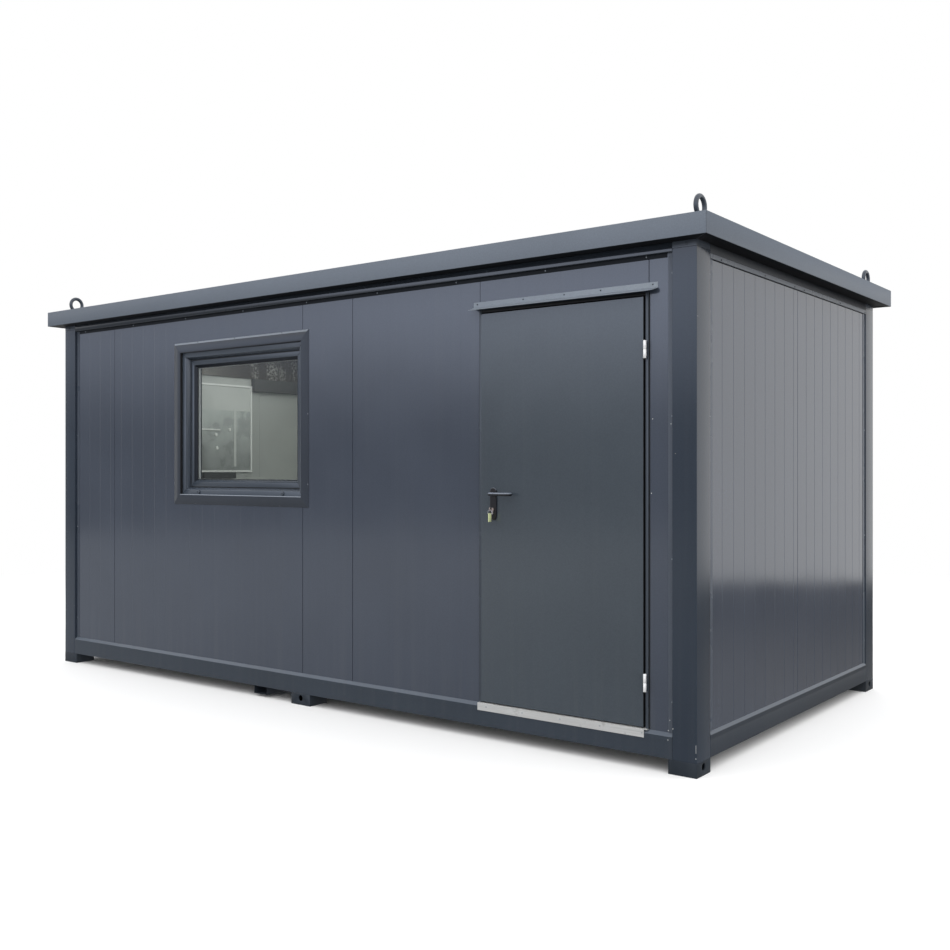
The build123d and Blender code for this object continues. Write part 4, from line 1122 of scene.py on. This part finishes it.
# ---- Roof ---------------------------------------------------------------------------------
# A folded fascia whose four lengths are mitred at the corners, round a trapezoidal steel sheet
# that is screwed down through the crests of its ribs.
# The end lengths take a darker copy of the long lengths' paint, a painted shade, and faces that look down
# take a near-black paint, a painted shade under the roof's edge.
fascia_long_paint = painted("fascia_long_paint", "6B737E", rough=0.45, drift=0.03, grime=0.04, shine=0.2)
fascia_end_shaded_paint = painted("fascia_end_shaded_paint", "656D78", rough=0.45, drift=0.03, grime=0.04, shine=0.2)
soffit_shade_paint = painted("soffit_shade_paint", "16191D", rough=0.7, grime=0.03, shine=0.2)
for side in sides:
    paint = fascia_long_paint if side in long_sides else fascia_end_shaded_paint
    roof_edge = cleaned(f"fascia_{side}", f"roof_edge_{side}", [paint, soffit_shade_paint], 0.003)
    repaint(roof_edge, lambda face: face.normal.z < -0.5)

roof_coat = painted("roof_sheet_coat", "5F656C", rough=0.4, grime=0.25)
deck_low, deck_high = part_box("roof_deck")
rib_rise = 0.032
rib_foot = 0.103
rib_crest = 0.051
rib_count = 24
rib_from_eye = 0.100
row_inset = 0.140
row_count = 5
pan = deck_high.z - rib_rise
eye_low, eye_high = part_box("lifting_eye_front_right")
last_rib = (eye_low.x + eye_high.x) / 2 - rib_from_eye
rib_line = np.linspace(-last_rib, last_rib, rib_count)
left, top = deck_low.x, deck_high.z
one_rib = np.array([(-rib_foot / 2, pan), (-rib_crest / 2, top), (rib_crest / 2, top), (rib_foot / 2, pan)])
ribs = (one_rib[None] + np.stack([rib_line, np.zeros(rib_count)], 1)[:, None]).reshape(-1, 2)
outline = [(left, deck_low.z), (deck_high.x, deck_low.z), (deck_high.x, pan), *ribs[::-1], (left, pan)]
deck = run(outline, deck_low.y * Y, X, Z, Y, deck_high.y - deck_low.y)
piece("roof_sheet", deck, [roof_coat], node="roof_deck", edge=0.002)
rows = np.linspace(deck_low.y + row_inset, deck_high.y - row_inset, row_count)
heads = [(x, y, top) for x in rib_line for y in rows]
piece("sheet_screws", screws(heads, Z, 0.0070, 0.0050), [screw_zinc])


# ---- Lifting eyes ---------------------------------------------------------------------------
# Round bar bent to a ring and welded to a stem that stands on each post head. A collar seals
# each stem where it comes through the roof.
def hoop(centre, across, up, ring_radius, bar_radius, around=56, about=16):
    """A ring of round bar: a point lies at turn t of the ring and turn s of the bar's section."""
    t = 2.0 * math.pi * np.arange(around) / around
    s = 2.0 * math.pi * np.arange(about) / about
    out = np.cos(t)[:, None] * across + np.sin(t)[:, None] * up
    axis = np.cross(across, up)
    reach = (ring_radius + bar_radius * np.cos(s))[None, :, None] * out[:, None]
    points = np.asarray(centre) + reach + (bar_radius * np.sin(s))[None, :, None] * axis
    i, j = np.meshgrid(np.arange(around), np.arange(about), indexing="ij")
    next_i, next_j = (i + 1) % around, (j + 1) % about
    quads = np.stack([i * about + j, next_i * about + j, next_i * about + next_j, i * about + next_j], -1)
    faces = quads.reshape(-1, 4).tolist()
    return points.reshape(-1, 3), faces, [0] * len(faces)


eye_paint = painted("eye_paint", "434A54", rough=0.3, fleck=0.5)
eye_bar = 0.0115
for corner in corners:
    low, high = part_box(f"lifting_eye_{corner}")
    ring_radius = (high.y - low.y) / 2 - eye_bar
    middle_x, middle_y = (low.x + high.x) / 2, (low.y + high.y) / 2
    ring_z = high.z - ring_radius - eye_bar
    eye = hoop((middle_x, middle_y, ring_z), Y, Z, ring_radius, eye_bar)
    foot = [(middle_x, middle_y, low.z)]
    top = ring_z - ring_radius + 0.004 - low.z
    stem = turned(foot, Z, [(0.015, 0.0), (0.015, top - 0.012), (0.0135, top - 0.004), (0.010, top)], 32)
    pan_up = pan - low.z
    collar = turned(foot, Z, [(0.034, pan_up), (0.034, pan_up + 0.003), (0.022, pan_up + 0.008),
                              (0.0165, pan_up + 0.020), (0.0150, pan_up + 0.022)], 32)
    piece(f"eye_{corner}", joined(eye, stem, collar), [eye_paint], node=f"lifting_eye_{corner}",
          smooth=True)
